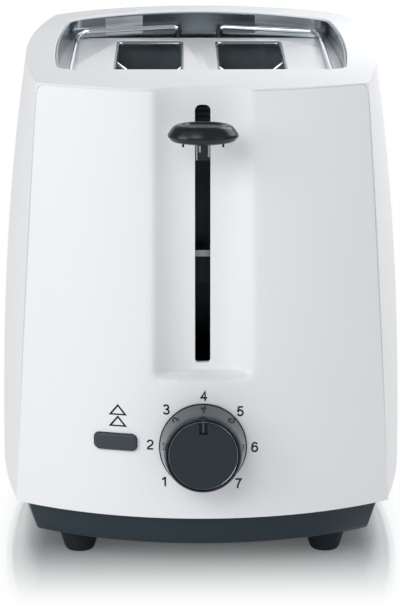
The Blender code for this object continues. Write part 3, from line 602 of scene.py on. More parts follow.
def makeHousing():
    values = {"levels": 40, "crownSteps": 14, "lipRadius": 0.0007, "leastRadius": 0.0004, "clear": 0.00015,
              "endBand": 0.004, "cornerGrowth": 0.012, "edge": 0.00012}
    # the crown's outline, taken back over the lever channel
    rim = [(x, y + channelDepth(x, crease) if y < 0 else y)
           for x, y in bodyLoop(crease, corner=shape["crownCorner"])]
    mesh, made = skin(crownRings(values, rim), closed=True)
    # side walls hang from the crown between the two end panels
    joint = shape["panelJoint"]
    count = len(rim)
    for side in (1, -1):
        picks = [i for i in range(count) if rim[i][0] * side > 0 and abs(rim[i][1]) <= joint - 0.0006]
        picks = [(picks[0] - 1) % count] + picks + [(picks[-1] + 1) % count]
        walls = []
        for level in range(values["levels"]):
            z = bodyBottom + (crease - bodyBottom) * level / values["levels"]
            blend = max(0.0, 1 - (crease - z) / values["cornerGrowth"])
            corner = shape["cornerRadius"] + (shape["crownCorner"] - shape["cornerRadius"]) * blend ** 2
            row = []
            for i in picks:
                y = max(-joint, min(joint, rim[i][1]))
                row.append(mesh.verts.new((side * sideAt(z, y, corner), y, z)))
            walls.append(row)
        walls.append([made[0][i] for i in picks])
        weave(mesh, walls, closed=False)
    faceOut(mesh, lambda p: Vector((0, 0, 1)) if p.z > crease else Vector((p.x, 0, 0)))
    result = worked(mesh, wall=shape["wall"], edge=values["edge"], angle=50)
    newPiece("housingShell", result, "whiteShell", "chassis", ["housing"], smooth=45)


makeHousing()
print("housing done")


# end panels

def panelMesh(side, rows, columns):
    # the front panel, side -1, has the lever channel; the rear one stays under the crown
    grid = []
    top = crease - lineGap
    for i in range(rows + 1):
        row = []
        for j in range(columns + 1):
            u = 2 * j / columns - 1
            v = i / rows
            z = bodyBottom + (top - bodyBottom) * v
            x = u * panelEdge(z)
            rise = (archAt(x) if side < 0 else 0.0) - cornerDrop(x, panelEdge(z))
            if side > 0:
                rise = min(rise, rearDip(x, endFace(x, z)))
            z += rise * v ** 6
            y = endFace(x, z)
            if side < 0:
                y -= channelDepth(x, z)
            row.append((x, side * y, z))
        grid.append(row)
    mesh, _ = skin(grid)
    return faceOut(mesh, lambda p: Vector((0, side, 0)))


def slotTool(limits, halfWidth, radii, reach):
    # an upright slot with its own corner radius at the top and at the bottom
    middle = sum(limits) / 2
    points = []
    for radius, half in zip(radii, (1, -1)):
        box = roundedBox(2 * halfWidth, limits[1] - limits[0], radius, (0, middle), 8)
        points += [p for p in box if (p[1] - middle) * half > 0]
    return prism(points, reach[0], reach[1], "Y")


# the dial's own +Z runs out of the leaning panel
dialHeight = 0.0517
dialPlace = Matrix.Translation((0, -endFace(0, dialHeight), dialHeight)) @ Matrix.Rotation(
    -atan(shape["lean"]), 4, "X") @ Matrix.Rotation(pi / 2, 4, "X")
button = {"x": -0.0338, "z": 0.0523, "width": 0.0164, "height": 0.0063, "proud": 0.0016}


def makePanels():
    values = {"grids": {-1: (120, 120), 1: (60, 70)}, "edge": 0.00012, "slotHalf": 0.00297,
              "slotEnds": (0.0022, 0.0012), "leverSlot": (0.0822, 0.1832), "rackSlot": (0.1135, 0.1615),
              "shaftHole": 0.0036, "play": 0.0006}
    half, ends = values["slotHalf"], values["slotEnds"]
    window = roundedBox(button["width"] + values["play"], button["height"] + values["play"], 0.0023,
                        (button["x"], button["z"]))
    cuts = {-1: [slotTool(values["leverSlot"], half, ends, (-0.140, -0.106)),
                 turned([(values["shaftHole"], -0.010), (values["shaftHole"], 0.006)], 40, dialPlace),
                 prism(window, -0.140, -0.108, "Y")],
            1: [slotTool(values["rackSlot"], half, ends, (0.106, 0.140))]}
    for side, word in ((-1, "front"), (1, "rear")):
        mesh = worked(panelMesh(side, *values["grids"][side]), wall=shape["wall"], cuts=cuts[side],
                      edge=values["edge"], angle=50)
        newPiece(word + "PanelShell", mesh, "whiteShell", "chassis", [word + "_panel"],
                 smooth=45)


makePanels()
print("panels done")


# base pan, feet and gland

screwSpots = [(sx * 0.055, sy * 0.068) for sy in (-1, 1) for sx in (-1, 1)]
glandSpot = (-0.060, 0.040)


def makeBase():
    values = {"foot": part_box("base")[0].z, "edgeRadius": 0.0018, "footInset": 0.0084, "topInset": 0.0042,
              "lip": 0.0032, "wellRadius": 0.0034, "glandHole": 0.0042, "tray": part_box("crumb_tray"),
              "play": 0.0004}
    low = values["foot"]
    section = [(0.0300, low), (values["footInset"], low), (values["topInset"], bodyBottom),
               (values["topInset"], bodyBottom + values["lip"]), (0.0064, bodyBottom + values["lip"]),
               (0.0095, 0.0133), (0.0300, 0.0133)]
    section = rounded(section, values["edgeRadius"], 5)
    loops = [[(x, y, z) for x, y in bodyLoop(bodyBottom, inset)] for inset, z in section]
    wells = []
    for radius, top, spots in ((values["wellRadius"], 0.0168, screwSpots),
                               (values["glandHole"], 0.018, [glandSpot])):
        wells += [turned([(radius, 0.008), (radius, top)], 32, upright(*spot)) for spot in spots]
    lowTray, highTray = values["tray"]
    left, right = lowTray.x - values["play"], highTray.x + values["play"]
    mouth = [(left, 0.100), (right, 0.100), (right, 0.140), (left, 0.140)]
    wells.append(prism(mouth, lowTray.z - 0.00015, highTray.z + seamGap))
    result = worked(loft(loops), cuts=wells, edge=0.0003, angle=50)
    newPiece("basePan", result, "anthracite", "chassis", ["base"], smooth=40)


def makeFeet():
    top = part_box("foot_front_left")[1].z
    profile = [(0.0002, 0.0), (0.0049, 0.0), (0.0059, 0.0011), (0.0084, top), (0.0002, top)]
    profile = rounded(profile, 0.0010, 5)
    for node in ("foot_front_left", "foot_front_right", "foot_rear_left", "foot_rear_right"):
        middle = sum(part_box(node), Vector()) / 2
        mesh = turned(profile, 56, upright(middle.x, middle.y))
        newPiece("pad_" + node, mesh, "softRubber", "chassis", [node])


def makeScrews():
    # round heads with a cross recess, seen in their wells under the base
    for index, (x, y) in enumerate(screwSpots, start=1):
        node = "base_screw_%d" % index
        profile = rounded([(0.0002, 0.0168), (0.0024, 0.0169), (0.0030, 0.0176), (0.0030, 0.0187),
                           (0.0015, 0.0189), (0.0015, 0.0299), (0.0002, 0.0299)], 0.0003, 3)
        cross = [prism(roundedBox(w, h, 0.0002, (x, y), 2), 0.0160, 0.0178)
                 for w, h in ((0.0034, 0.0008), (0.0008, 0.0034))]
        mesh = worked(turned(profile, 32, upright(x, y)), cuts=cross)
        newPiece("crossScrew%d" % index, mesh, "zincSheet", "chassis", [node])


def makeGland():
    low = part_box("cord_gland")[0].z
    profile = [(0.0031, 0.0003), (0.0034, 0.0), (0.0052, 0.0), (0.0055, 0.0003), (0.0055, 0.0012),
               (0.0039, 0.0012), (0.0039, 0.0068), (0.0031, 0.0068)]
    profile = [(radius, low + rise) for radius, rise in profile]
    mesh = turned(profile, 48, upright(*glandSpot), ring=True)
    newPiece("cordGrommet", mesh, "softRubber", "chassis", ["cord_gland"])


def makeTray():
    # steel tray, open on top, with a deep lip that follows the bow of the rear end
    values = {"sheet": 0.0008, "endInset": 0.0070, "lipFrom": 0.104, "edge": 0.0003}
    low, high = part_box("crumb_tray")
    rim = [(-high.x, low.y), (high.x, low.y)]
    for i in range(25):
        x = high.x * (1 - i / 12)
        rim.append((x, endFace(x, bodyBottom, values["endInset"])))
    half, back = high.x - values["sheet"], low.y + values["sheet"]
    inside = prism([(-half, back), (half, back), (half, values["lipFrom"]), (-half, values["lipFrom"])],
                   low.z + values["sheet"], 0.030)
    mesh = worked(prism(rim, low.z, high.z), cuts=[inside], edge=values["edge"], angle=50)
    newPiece("crumbTrayPan", mesh, "zincSheet", "tray", ["crumb_tray"], smooth=40)


makeBase()
makeFeet()
makeScrews()
makeGland()
makeTray()
print("base done")


# plate, liner and toasting chamber

slots = {"centre": 0.0215, "halfWidth": 0.0145, "halfLength": 0.0685, "corner": 0.0030}


def makeTopPlate():
    values = {"sheet": 0.0008, "flange": 0.0018, "bend": 0.0011, "endY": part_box("top_plate")[1].y,
              "flangeSheet": 0.0005, "play": 0.00005, "sunk": 0.00001}
    fold = values["bend"]
    outer = [(x, max(-values["endY"], min(values["endY"], y))) for x, y in recessLoop(0.0010)]
    mouths = []
    for side in (-1, 1):
        mouth = roundedBox(2 * slots["halfWidth"], 2 * slots["halfLength"], slots["corner"],
                           (side * slots["centre"], 0))
        mouths.append(prism(mouth, plateTop - 0.003, plateTop + 0.003))
    plate = worked(prism(outer, plateTop - values["sheet"], plateTop), cuts=mouths, edge=0.0002, angle=50)
    newPiece("topPlateSheet", plate, "satinPlate", "chassis", ["top_plate"], smooth=40)
    # each mouth has a turned-down flange, rounded over from the plate; the flanges take the darker band
    # steel, painted shade for the slots' dim edges
    mesh = bmesh.new()
    for side in (-1, 1):
        loops = []
        section = [(0.0, 0.0)]
        for i in range(7):
            angle = pi / 2 * i / 6
            section.append((fold * sin(angle), -fold * (1 - cos(angle))))
        back = fold - values["flangeSheet"]
        section += [(fold, -values["flange"]), (back, -values["flange"]), (back, -fold)]
        section.append((0.0, -values["sheet"]))
        for inset, drop in section:
            width, length = 2 * (slots["halfWidth"] - inset), 2 * (slots["halfLength"] - inset)
            loop = roundedBox(width - values["play"], length - values["play"], slots["corner"] - inset,
                              (side * slots["centre"], 0))
            loops.append([(x, y, plateTop - values["sunk"] + drop) for x, y in loop])
        skin(loops + [loops[0]], closed=True, mesh=mesh)
    bmesh.ops.remove_doubles(mesh, verts=mesh.verts, dist=0.000001)
    newPiece("shadedSlotFlanges", mesh, "polishedBand", "chassis", smooth=50)


def onBand(x, y, share):
    # a point on the recess wall, from the plate (0) to the lip (1)
    foot, rim = plateTop + seamGap, recessRim(x, y)
    return x, y, foot + (rim - foot) * share


def makeLiner():
    loops = []
    rows = 8
    for outset, order in ((-0.0003, range(rows + 1)), (-0.0008, range(rows, -1, -1))):
        loops += [[onBand(x, y, i / rows) for x, y in recessLoop(outset)] for i in order]
    newPiece("recessBand", loft(loops, ring=True), "polishedBand", "chassis", ["recess_liner"],
             smooth=50)


def makeBandLaps():
    # two thin sheets lapped onto the rear wall of the recess: a darker wide one across the middle and a pale
    # narrow one, which is a painted reflection
    bands = {"lapWide": (-0.0247, 0.0247, 0.00030, "darkBand"),
             "reflectionPatch": (-0.0412, -0.0249, 0.00018, "paleReflection")}
    centre = recess["halfLength"] - recess["endRadius"]
    for name, (left, right, proud, finish) in bands.items():
        low = [(left + (right - left) * i / 24, 0.10) for i in range(25)]
        high = [(right + (left - right) * i / 24, 0.94) for i in range(25)]
        loops = []
        for radius in (recess["endRadius"] - 0.0009, recess["endRadius"] - (0.0008 + proud)):
            loops.append([onBand(x, centre + sqrt(radius ** 2 - x * x), share) for x, share in low + high])
        newPiece(name, loft(loops), finish, "chassis", smooth=50)


def makeGuards():
    # upright wires with flared tops on five rails; each guard tips on its lowest rail
    values = {"radius": 0.00072, "pitch": 0.0450, "offset": 0.0095, "pivot": 0.0310, "flare": 0.1733,
              "flareOut": 0.0055, "top": 0.1778, "railEnd": 0.0735, "rails": (0.065, 0.100, 0.135, 0.168),
              "first": {"outer": -0.0585, "inner": -0.0695}}
    pivot, radius = values["pivot"], values["radius"]
    for side, word in ((-1, "left"), (1, "right")):
        for away, kind in ((side, "outer"), (-side, "inner")):
            x = side * slots["centre"] + away * values["offset"]
            bars = [values["first"][kind] + values["pitch"] * i for i in range(3)]
            mesh = bmesh.new()
            for y in bars:
                top = (x + away * values["flareOut"], y, values["top"])
                tube(bend([(x, y, pivot), (x, y, values["flare"]), top], [0.0015]), radius, 10, mesh)
            for z in (pivot, *values["rails"]):
                end = values["railEnd"]
                low, high = (-end, end) if z == pivot else (bars[0], bars[-1])
                tube([(x - away * 0.0001, y, z) for y in (low, 0, high)], radius, 10, mesh)
            node = "guard_%s_%s" % (kind, word)
            newPiece("wire_" + node, mesh, "brightWire", node, [node])


heaterCards = ["heater_outer_left", "heater_inner_left", "heater_inner_right", "heater_outer_right"]


def makeHeaterWindings():
    # flat resistance ribbon wound round each mica card
    values = {"rows": 15, "low": 0.042, "high": 0.163, "halfWidth": 0.0007, "reach": 0.0690, "lift": 0.00015,
              "slope": 0.0022, "sunk": 0.00002}
    for node in heaterCards:
        low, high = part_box(node)
        mesh = bmesh.new()
        for i in range(values["rows"]):
            z = values["low"] + (values["high"] - values["low"]) * i / (values["rows"] - 1)
            for x, out in ((low.x, -1), (high.x, 1)):
                middle = []
                for share in [step / 8 for step in range(9)]:
                    y = -values["reach"] + 2 * values["reach"] * share
                    middle.append((y, z + values["slope"] * out * (share - 0.5)))
                rows = []
                for dz, lift in ((-1, 0), (-1, 1), (1, 1), (1, 0)):
                    face = x + out * values["lift"] * lift - out * values["sunk"]
                    rows.append([(face, y, at + dz * values["halfWidth"]) for y, at in middle])
                _, rings = skin(rows + [rows[0]], mesh=mesh)
                for end in (0, -1):
                    mesh.faces.new([ring[end] for ring in rings[:4]])
        bmesh.ops.remove_doubles(mesh, verts=mesh.verts, dist=0.000001)
        newPiece("ribbon_" + node, mesh, "heaterRibbon", "chassis")


makeTopPlate()
makeLiner()
makeBandLaps()
makeGuards()
makeHeaterWindings()
print("chamber done")


# controls

def makeKnob(name, node, body, side, height, neckEnd):
    # a saucer with a dished top, on a flat neck, with two ribs under it
    values = {"halfWidth": 0.0134, "halfDepth": 0.0100, "neckWidth": 0.0048, "neckHeight": 0.0054,
              "neckDrop": 0.0009, "rib": 0.0008, "ribX": 0.0075, "steps": 72,
              "section": [(0.02, -0.0032), (0.58, -0.0032), (0.88, -0.0024), (1.0, -0.0006), (0.985, 0.0004),
                          (0.84, 0.0031), (0.70, 0.0039), (0.60, 0.0037), (0.52, 0.0030), (0.02, 0.0026)]}
    low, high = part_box(node)
    centreY = low.y + values["halfDepth"] if side < 0 else high.y - values["halfDepth"]
    loops = []
    for share, rise in rounded(values["section"], 0.04, 4):
        loop = []
        for i in range(values["steps"]):
            angle = 2 * pi * i / values["steps"]
            loop.append((values["halfWidth"] * share * cos(angle),
                         centreY + values["halfDepth"] * share * sin(angle) * -side, height + rise))
        loops.append(loop)
    neck = roundedBox(values["neckWidth"], values["neckHeight"], 0.0010, (0, height - values["neckDrop"]))
    joins = [prism(neck, *sorted((side * neckEnd, centreY + side * 0.004)), "Y")]
    for x in (-values["ribX"], values["ribX"]):
        rib = [(centreY - 0.0045, height - 0.0026), (centreY + 0.0045, height - 0.0026),
               (centreY + 0.0030, height - 0.0043), (centreY - 0.0030, height - 0.0043)]
        joins.append(prism(rib, x - values["rib"] / 2, x + values["rib"] / 2, "X"))
    mesh = worked(loft(loops), joins=joins)
    newPiece(name, mesh, "knobPlastic", body, [node], smooth=38)


def makeDial():
    # profiles run (radius, height) outwards along the dial's axis
    values = {"steps": 128, "pointerWidth": 0.0032, "pointerInner": 0.0083, "pointerDepth": 0.0013,
              "face": 0.0165, "ribHalf": 0.00045}
    rim = [(0.0002, 0.0140), (0.0033, 0.0140), (0.0033, 0.0006), (0.0162, 0.0006), (0.0166, 0.0010),
           (0.0167, 0.0018), (0.0156, 0.0092), (0.0149, 0.0146), (0.0002, 0.0146)]
    cap = [(0.0002, 0.01462), (0.01485, 0.01462), (0.0144, 0.0162), (0.0138, 0.0163), (0.0137, 0.0155),
           (0.0132, 0.0155), (0.0131, 0.0165), (0.0002, 0.0165)]
    # painted shadow: a ring of darker plastic, a little wider than the skirt, for the shadow line where the
    # dial meets the panel
    shadowRing = [(0.0158, 0.0004), (0.0168, 0.0004), (0.0170, 0.0007), (0.0170, 0.0013), (0.0158, 0.0013)]
    # painted highlight: a thin ring of grey steel at the edge of the face stands in for the light line that
    # this edge catches
    highlightRing = [(0.01305, 0.0160), (0.01332, 0.0160), (0.01330, 0.0164), (0.01322, 0.01652), (0.01305, 0.0164)]

    def wheel(profile, ring=False):
        return turned(profile, values["steps"], dialPlace, ring)

    def bar(halfWidth, inner, outer, low, high):
        corners = [(-halfWidth, inner), (halfWidth, inner), (halfWidth, outer), (-halfWidth, outer)]
        return loft([[dialPlace @ Vector((x, y, z)) for x, y in corners] for z in (low, high)])

    def fit(name, mesh, finish, replaced=(), smooth=30):
        newPiece(name, mesh, finish, "dial", replaced, smooth)

    half, inner, face = values["pointerWidth"] / 2, values["pointerInner"], values["face"]
    bed = face - values["pointerDepth"]
    groove = bar(half, inner, 0.0160, bed, face + 0.002)
    fit("dialFace", worked(wheel(rounded(cap, 0.0004, 4)), cuts=[groove]), "glossAnthracite")
    fit("dialShadowRing", wheel(shadowRing, True), "knobPlastic")
    fit("dialHighlightRing", wheel(highlightRing, True), "darkBand")
    # painted sheen: the skirt and the pointer rib take a lighter copy of the face's plastic
    fit("dialKnob", wheel(rounded(rim, 0.0004, 4)), "litSkirtPlastic", replaced=["browning_dial"])
    rib = bar(values["ribHalf"], inner + 0.0006, 0.0141, bed - 0.0002, face - 0.0003)
    fit("dialPointer", worked(rib, edge=0.0001, angle=35, bits=2), "litSkirtPlastic", smooth=35)
    # painted shade: a thin near-black plate on the groove's floor darkens the groove
    fit("dialGrooveShade", bar(half - 0.00003, inner + 0.00003, 0.01300, bed, bed + 0.0002), "printInk", smooth=20)


def makeButton():
    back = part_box("cancel_button")[1].y
    loops = []
    for inset, out in ((0.0, None), (0.0, -0.0007), (0.00015, -0.00025), (0.0005, -0.00004), (0.0010, 0.0)):
        points = roundedBox(button["width"] - 2 * inset, button["height"] - 2 * inset, 0.0021 - inset,
                            (button["x"], button["z"]), 8)
        if out is None:
            loops.append([(x, back - 0.0001, z) for x, z in points])
        else:
            loops.append([(x, -endFace(x, z) - button["proud"] - out, z) for x, z in points])
    flange = roundedBox(0.0200, 0.0090, 0.0020, (button["x"], button["z"]))
    mesh = worked(loft(loops), joins=[prism(flange, back - 0.0012, back - 0.0001, "Y")])
    newPiece("cancelKey", mesh, "keyPlastic", "button", ["cancel_button"])


def makeSlider():
    # black plastic runner behind the slot, with thumb-smooth ribs above and three raised strips of lighter
    # zinc, painted glints for the upright highlights on its edges
    values = {"ribs": 6, "ribPitch": 0.0022, "ribRadius": 0.00075, "firstRib": 0.0012, "stripHeight": 0.0098,
              "proud": 0.0006, "glintStrips": ((-0.0023, 0.00030, 0.0), (-0.0011, 0.00035, 0.0030),
                                          (0.0024, 0.00035, 0.0012))}
    low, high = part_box("lever_slider")
    front, radius = low.y + values["proud"], values["ribRadius"]
    middle = ((low.x + high.x) / 2, (low.z + high.z) / 2)
    block = roundedBox(high.x - low.x, high.z - low.z, 0.0008, middle, 4)
    joins = []
    for i in range(values["ribs"]):
        z = high.z - values["firstRib"] - values["ribPitch"] * i
        bar = [(front + radius * sin(a), z + radius * cos(a))
               for a in [2 * pi * k / 16 for k in range(16)]]
        joins.append(prism([(max(y, low.y), at) for y, at in bar], low.x + 0.0004, high.x - 0.0004, "X"))
    mesh = worked(prism(block, front, high.y, "Y"), joins=joins)
    newPiece("ribbedSlider", mesh, "glossAnthracite", "carriage", ["lever_slider"])
    glintStrips = bmesh.new()
    for x, half, foot in values["glintStrips"]:
        ring = roundedBox(2 * half, values["stripHeight"] - foot, 0.0002,
                          (x, low.z + (values["stripHeight"] + foot) / 2 + 0.0002), 3)
        loops = [[(a, y, c) for a, c in ring] for y in (low.y + 0.0001, front + 0.0001)]
        for end in skin(loops, closed=True, mesh=glintStrips)[1]:
            glintStrips.faces.new(end)
    newPiece("sliderGlintStrips", glintStrips, "zincSheet", "carriage")


makeSlider()
makeKnob("leverSaucer", "lever_knob", "carriage", -1, 0.1750, 0.1133)
makeKnob("rackSaucer", "rack_knob", "rack", 1, 0.1200, 0.1183)
makeDial()
makeButton()
print("controls done")


# rack wires

def makeRackWires():
    # one loop of wire on each side; dark sleeves over its legs are painted shade where the legs go down into
    # the dark
    values = {"radius": 0.0010, "legX": 0.0090, "legY": 0.0815, "bends": (0.0025, 0.0035, 0.0035),
              "shadeSleeve": 0.00035, "shadeSleeveTop": 0.1846, "shadeSleeveFeet": (0.1190, 0.1090)}
    legX, legY = values["legX"], values["legY"]
    route = [(legX, legY, 0.1140), (legX, legY, 0.1855), (0.0500, 0.0765, 0.1842), (0.0530, 0.0680, 0.1832),
             (0.0530, -0.0680, 0.1832), (0.0500, -0.0765, 0.1842), (legX, -legY, 0.1855),
             (legX, -legY, 0.1080)]
    path = bend(route, values["bends"] + values["bends"][::-1])
    for side, word in ((-1, "left"), (1, "right")):
        mesh = tube([(side * x, y, z) for x, y, z in path], values["radius"], 20)
        newPiece("chromeLoop_" + word, mesh, "chrome", "rack", ["rack_wire_" + word],
                 smooth=60)
        shadeSleeves = bmesh.new()
        for y, foot in zip((legY, -legY), values["shadeSleeveFeet"]):
            tube([(side * legX, y, z) for z in (foot, 0.15, values["shadeSleeveTop"])],
                 values["radius"] + values["shadeSleeve"], 20, shadeSleeves)
        newPiece("legShadeSleeves_" + word, shadeSleeves, "paintedShadeSteel", "rack", smooth=60)


makeRackWires()


# printing on the front panel: the browning scale and the release mark

def onPanel(mesh, thickness=0.00006):
    # lays flat artwork, drawn as (x, z, depth), on the bowed panel
    for vert in mesh.verts:
        x, z, depth = vert.co
        vert.co = (x, -endFace(x, z) - thickness * depth, z)
    return mesh


def ribbon(mesh, points, width):
    # flat pen stroke along (x, z) points, with mitred joints
    edges = []
    for i, point in enumerate(points):
        here = Vector(point)
        ahead = (Vector(points[min(i + 1, len(points) - 1)]) - here)
        behind = (here - Vector(points[max(i - 1, 0)]))
        ahead = ahead.normalized() if ahead.length else behind.normalized()
        behind = behind.normalized() if behind.length else ahead
        normals = [Vector((-d.y, d.x)) for d in (behind, ahead)]
        joint = (normals[0] + normals[1]).normalized()
        reach = width / 2 / max(0.45, joint.dot(normals[0]))
        edges.append((here + joint * reach, here - joint * reach))
    skin([[(side.x, side.y, 1.0) for side in pair] for pair in edges], mesh=mesh)


def arc(centre, radii, start, end, bits=14):
    return [(centre[0] + radii[0] * cos(radians(start + (end - start) * i / bits)),
             centre[1] + radii[1] * sin(radians(start + (end - start) * i / bits)))
            for i in range(bits + 1)]


# pen strokes of the figures, in a box 0.56 wide and 1 high
figures = {
    1: [[(0.07, 0.74), (0.18, 0.76), (0.27, 0.84), (0.31, 0.98)], [(0.335, 1.0), (0.335, 0.0)]],
    2: [arc((0.28, 0.70), (0.215, 0.25), 175, -20) + [(0.40, 0.47), (0.16, 0.26), (0.07, 0.10), (0.06, 0.05)],
        [(0.03, 0.055), (0.53, 0.055)]],
    3: [arc((0.26, 0.735), (0.195, 0.215), 165, -75) + [(0.21, 0.525)],
        [(0.21, 0.525), (0.30, 0.52)] + arc((0.27, 0.275), (0.225, 0.235), 75, -165)],
    4: [[(0.39, 0.0), (0.39, 0.93), (0.06, 0.30), (0.56, 0.30)]],
    5: [[(0.50, 0.945), (0.145, 0.945), (0.095, 0.50)] + arc((0.27, 0.33), (0.225, 0.28), 142, -160)],
    6: [arc((0.30, 0.62), (0.22, 0.335), 30, 172) + arc((0.29, 0.33), (0.225, 0.285), 180, 540, 28)],
    7: [[(0.04, 0.945), (0.50, 0.945), (0.36, 0.66), (0.26, 0.36), (0.22, 0.0)]],
}


def thicken(mesh):
    # a thin printed film: its underside is flat on the panel
    thick = bmesh.ops.extrude_face_region(mesh, geom=list(mesh.faces), use_keep_orig=True)
    for item in thick["geom"]:
        if isinstance(item, bmesh.types.BMVert):
            item.co.z = 0.0
    return mesh


def makeScale():
    values = {"radius": 0.0202, "height": 0.0038, "pen": 0.00066, "centre": (-0.0002, 0.0513), "turn": 1.5,
              "spread": 1.22}
    mesh = bmesh.new()
    for number, strokes in figures.items():
        angle = radians(45 * (number - 4) + values["turn"])
        cx = values["centre"][0] + values["radius"] * sin(angle)
        cz = values["centre"][1] + values["radius"] * cos(angle)
        wide, tall = values["height"] * values["spread"], values["height"]
        for stroke in strokes:
            ribbon(mesh, [(cx + (x - 0.28) * wide, cz + (z - 0.5) * tall) for x, z in stroke], values["pen"])
    newPiece("scaleFigures", onPanel(thicken(mesh)), "printInk", "chassis")


def makeReleaseMark():
    # two outlined triangles, one over the other
    values = {"x": -0.0329, "low": 0.0583, "halfWidth": 0.0036, "height": 0.0044, "line": 0.00060,
              "gap": 0.0001, "centre": 0.36}
    mesh = bmesh.new()
    x, tall = values["x"], values["height"]
    reach = tall * values["centre"]
    for k in range(2):
        base = values["low"] + k * (tall + values["gap"])
        corners = [(x - values["halfWidth"], base), (x + values["halfWidth"], base), (x, base + tall)]
        centre = Vector((x, base + reach))
        inner = [centre + (Vector(c) - centre) * (1 - values["line"] / reach) for c in corners]
        for i in range(3):
            j = (i + 1) % 3
            mesh.faces.new([mesh.verts.new((p[0], p[1], 1.0))
                            for p in (corners[i], corners[j], inner[j], inner[i])])
    bmesh.ops.remove_doubles(mesh, verts=mesh.verts, dist=0.000001)
    newPiece("releaseMark", onPanel(thicken(mesh)), "printInk", "chassis")


makeScale()
makeReleaseMark()
print("printing done")


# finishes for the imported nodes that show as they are

carried = {
    "zincSheet": ["lifter_left", "lifter_right", "armature", "rod_bracket_left", "rod_bracket_right",
                  "spring_anchor", "lift_spring", "magnet_core", "dial_shaft", "potentiometer", "rack_arm"],
    # painted shade: the rear bulkhead and reflectors take the darkened steel for the dim inside of the slots
    "shadedSteel": ["rear_bulkhead", "reflector_left", "reflector_right"],
    # painted shade: the front bulkhead, carriage and lever arm take near-black steel for the dark they sit in
    # behind the lever slot
    "paintedShadeSteel": ["front_bulkhead", "carriage", "lever_arm"],
    "chrome": ["guide_rod_left", "guide_rod_right"],
    "innerPlastic": ["magnet_mount", "cancel_switch", "rack_slider", "rack_guide_front", "rack_guide_rear"],
    "micaCard": heaterCards,
    "greenBoard": ["control_board"],
    "copperWinding": ["magnet_coil"],
}
for finish, names in carried.items():
    for name in names:
        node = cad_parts[name]
        node.data.materials.clear()
        node.data.materials.append(finishes[finish])


# floor, light and camera

def makeFloor():
    # white all over, with a soft shadow and a short reflection that die away round the foot
    values = {"halfSize": 3.0, "near": (0.0620, 0.080), "far": (0.0870, 0.172), "mirror": 0.75,
              "roughness": 0.07, "depth": 0.92, "bounce": 0.87}
    mesh = bmesh.new()
    bmesh.ops.create_grid(mesh, x_segments=1, y_segments=1, size=values["halfSize"])
    data = bpy.data.meshes.new("floor")
    mesh.to_mesh(data)
    mesh.free()
    floor = bpy.data.objects.new("floor", data)
    floor.location = (0, 0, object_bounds()[0].z - 0.0001)
    scene.collection.objects.link(floor)
    material = bpy.data.materials.new("floorGloss")
    material.use_nodes = True
    tree = material.node_tree
    tree.nodes.clear()
    out = addNode(tree, "OutputMaterial")
    place = addNode(tree, "TexCoord")
    parts = addNode(tree, "SeparateXYZ", [("Vector", place.outputs["Object"])]).outputs
    masks = [ramp(tree, maths(tree, "ABSOLUTE", parts[axis]), far, near)
             for axis, near, far in zip("XY", values["near"], values["far"])]
    deep = maths(tree, "MULTIPLY", maths(tree, "MULTIPLY", *masks), values["depth"])
    glow = addNode(tree, "MapRange", [("Value", addNode(tree, "LightPath").outputs["Is Camera Ray"]),
                                      ("To Min", values["bounce"]), ("To Max", 1.0)])
    white = addNode(tree, "Emission", [("Color", (1, 1, 1, 1)), ("Strength", glow.outputs["Result"])])
    matt = addNode(tree, "BsdfDiffuse", [("Color", (0.74, 0.84, 0.90, 1))])
    gloss = addNode(tree, "BsdfGlossy", [("Color", (0.93, 0.98, 1, 1)), ("Roughness", values["roughness"])])
    table = addNode(tree, "MixShader",
                    [("Fac", values["mirror"]), (1, matt.outputs[0]), (2, gloss.outputs[0])])
    mix = addNode(tree, "MixShader", [("Fac", deep), (1, white.outputs[0]), (2, table.outputs[0])])
    tree.links.new(mix.outputs[0], out.inputs["Surface"])
    data.materials.append(material)


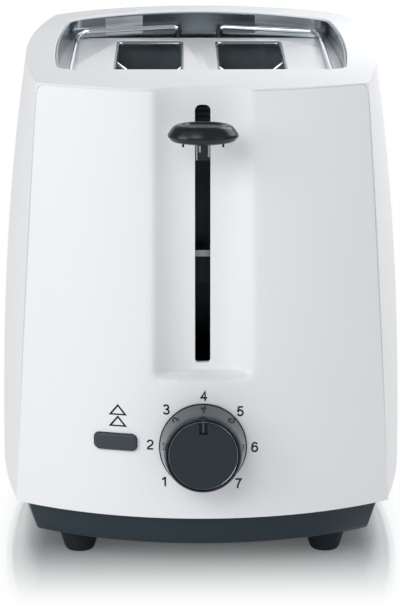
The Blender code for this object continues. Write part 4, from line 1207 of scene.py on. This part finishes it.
def makeWorld():
    # a dim room with a white backdrop low down behind; the eye sees white all round
    values = {"front": 0.39, "back": 0.30, "turn": (-0.30, 0.45), "backdrop": 1.0, "behind": (0.70, 0.90),
              "lowDown": (0.46, 0.34)}
    world = bpy.data.worlds.new("studio")
    scene.world = world
    world.use_nodes = True
    tree = world.node_tree
    tree.nodes.clear()
    out = addNode(tree, "OutputWorld")
    place = addNode(tree, "TexCoord")
    parts = addNode(tree, "SeparateXYZ", [("Vector", place.outputs["Generated"])]).outputs
    path = addNode(tree, "LightPath").outputs
    room = ramp(tree, parts["Y"], *values["turn"], values["front"], values["back"])
    sheet = maths(tree, "MULTIPLY", ramp(tree, parts["Y"], *values["behind"]),
                  ramp(tree, parts["Z"], *values["lowDown"]))
    seen = maths(tree, "MULTIPLY", sheet, path["Is Glossy Ray"])
    brighter = maths(tree, "MAXIMUM", room, maths(tree, "MULTIPLY", seen, values["backdrop"]))
    strength = maths(tree, "MAXIMUM", brighter, path["Is Camera Ray"])
    light = addNode(tree, "Background", [("Color", (0.97, 0.985, 1, 1)), ("Strength", strength)])
    tree.links.new(light.outputs[0], out.inputs["Surface"])


# area lights: where each stands, its two sides and its power in watts
lights = {
    "keyLeft": {"at": (-0.95, -0.75, 0.55), "size": (0.60, 0.80), "power": 5.0},
    "frontLeft": {"at": (-0.38, -1.15, 0.80), "size": (0.50, 0.50), "power": 3.8},
    "frontRight": {"at": (0.75, -0.95, 0.60), "size": (0.50, 0.60), "power": 0.6},
    "topRight": {"at": (0.80, 0.20, 0.70), "size": (0.60, 0.60), "power": 3.4},
    "topBack": {"at": (0.10, 0.75, 0.85), "size": (0.90, 0.40), "power": 0.45},
    "crownRight": {"at": (0.135, 0.02, 0.335), "size": (0.10, 0.14), "power": 0.2},
}


def makeLights():
    target = Vector((0, -0.05, 0.10))
    for name, values in lights.items():
        data = bpy.data.lights.new(name, "AREA")
        data.shape = "RECTANGLE"
        data.size, data.size_y = values["size"]
        data.energy = values["power"]
        lamp = bpy.data.objects.new(name, data)
        lamp.location = values["at"]
        aim = target - Vector(values["at"])
        lamp.rotation_euler = aim.to_track_quat("-Z", "Y").to_euler()
        lamp.visible_camera = False
        scene.collection.objects.link(lamp)


def makeCamera():
    values = {"lens": 182.95, "sensor": 36.0, "reach": (0.05, 20.0), "at": (-0.010, -1.281, 0.3753),
              "down": 13.06, "right": 0.45}
    data = bpy.data.cameras.new("studioCamera")
    data.lens, data.sensor_width = values["lens"], values["sensor"]
    data.clip_start, data.clip_end = values["reach"]
    camera = bpy.data.objects.new("studioCamera", data)
    camera.location = values["at"]
    camera.rotation_euler = (radians(90 - values["down"]), 0, -radians(values["right"]))
    scene.collection.objects.link(camera)
    scene.camera = camera


makeFloor()
makeWorld()
makeLights()
makeCamera()
print("stage done")
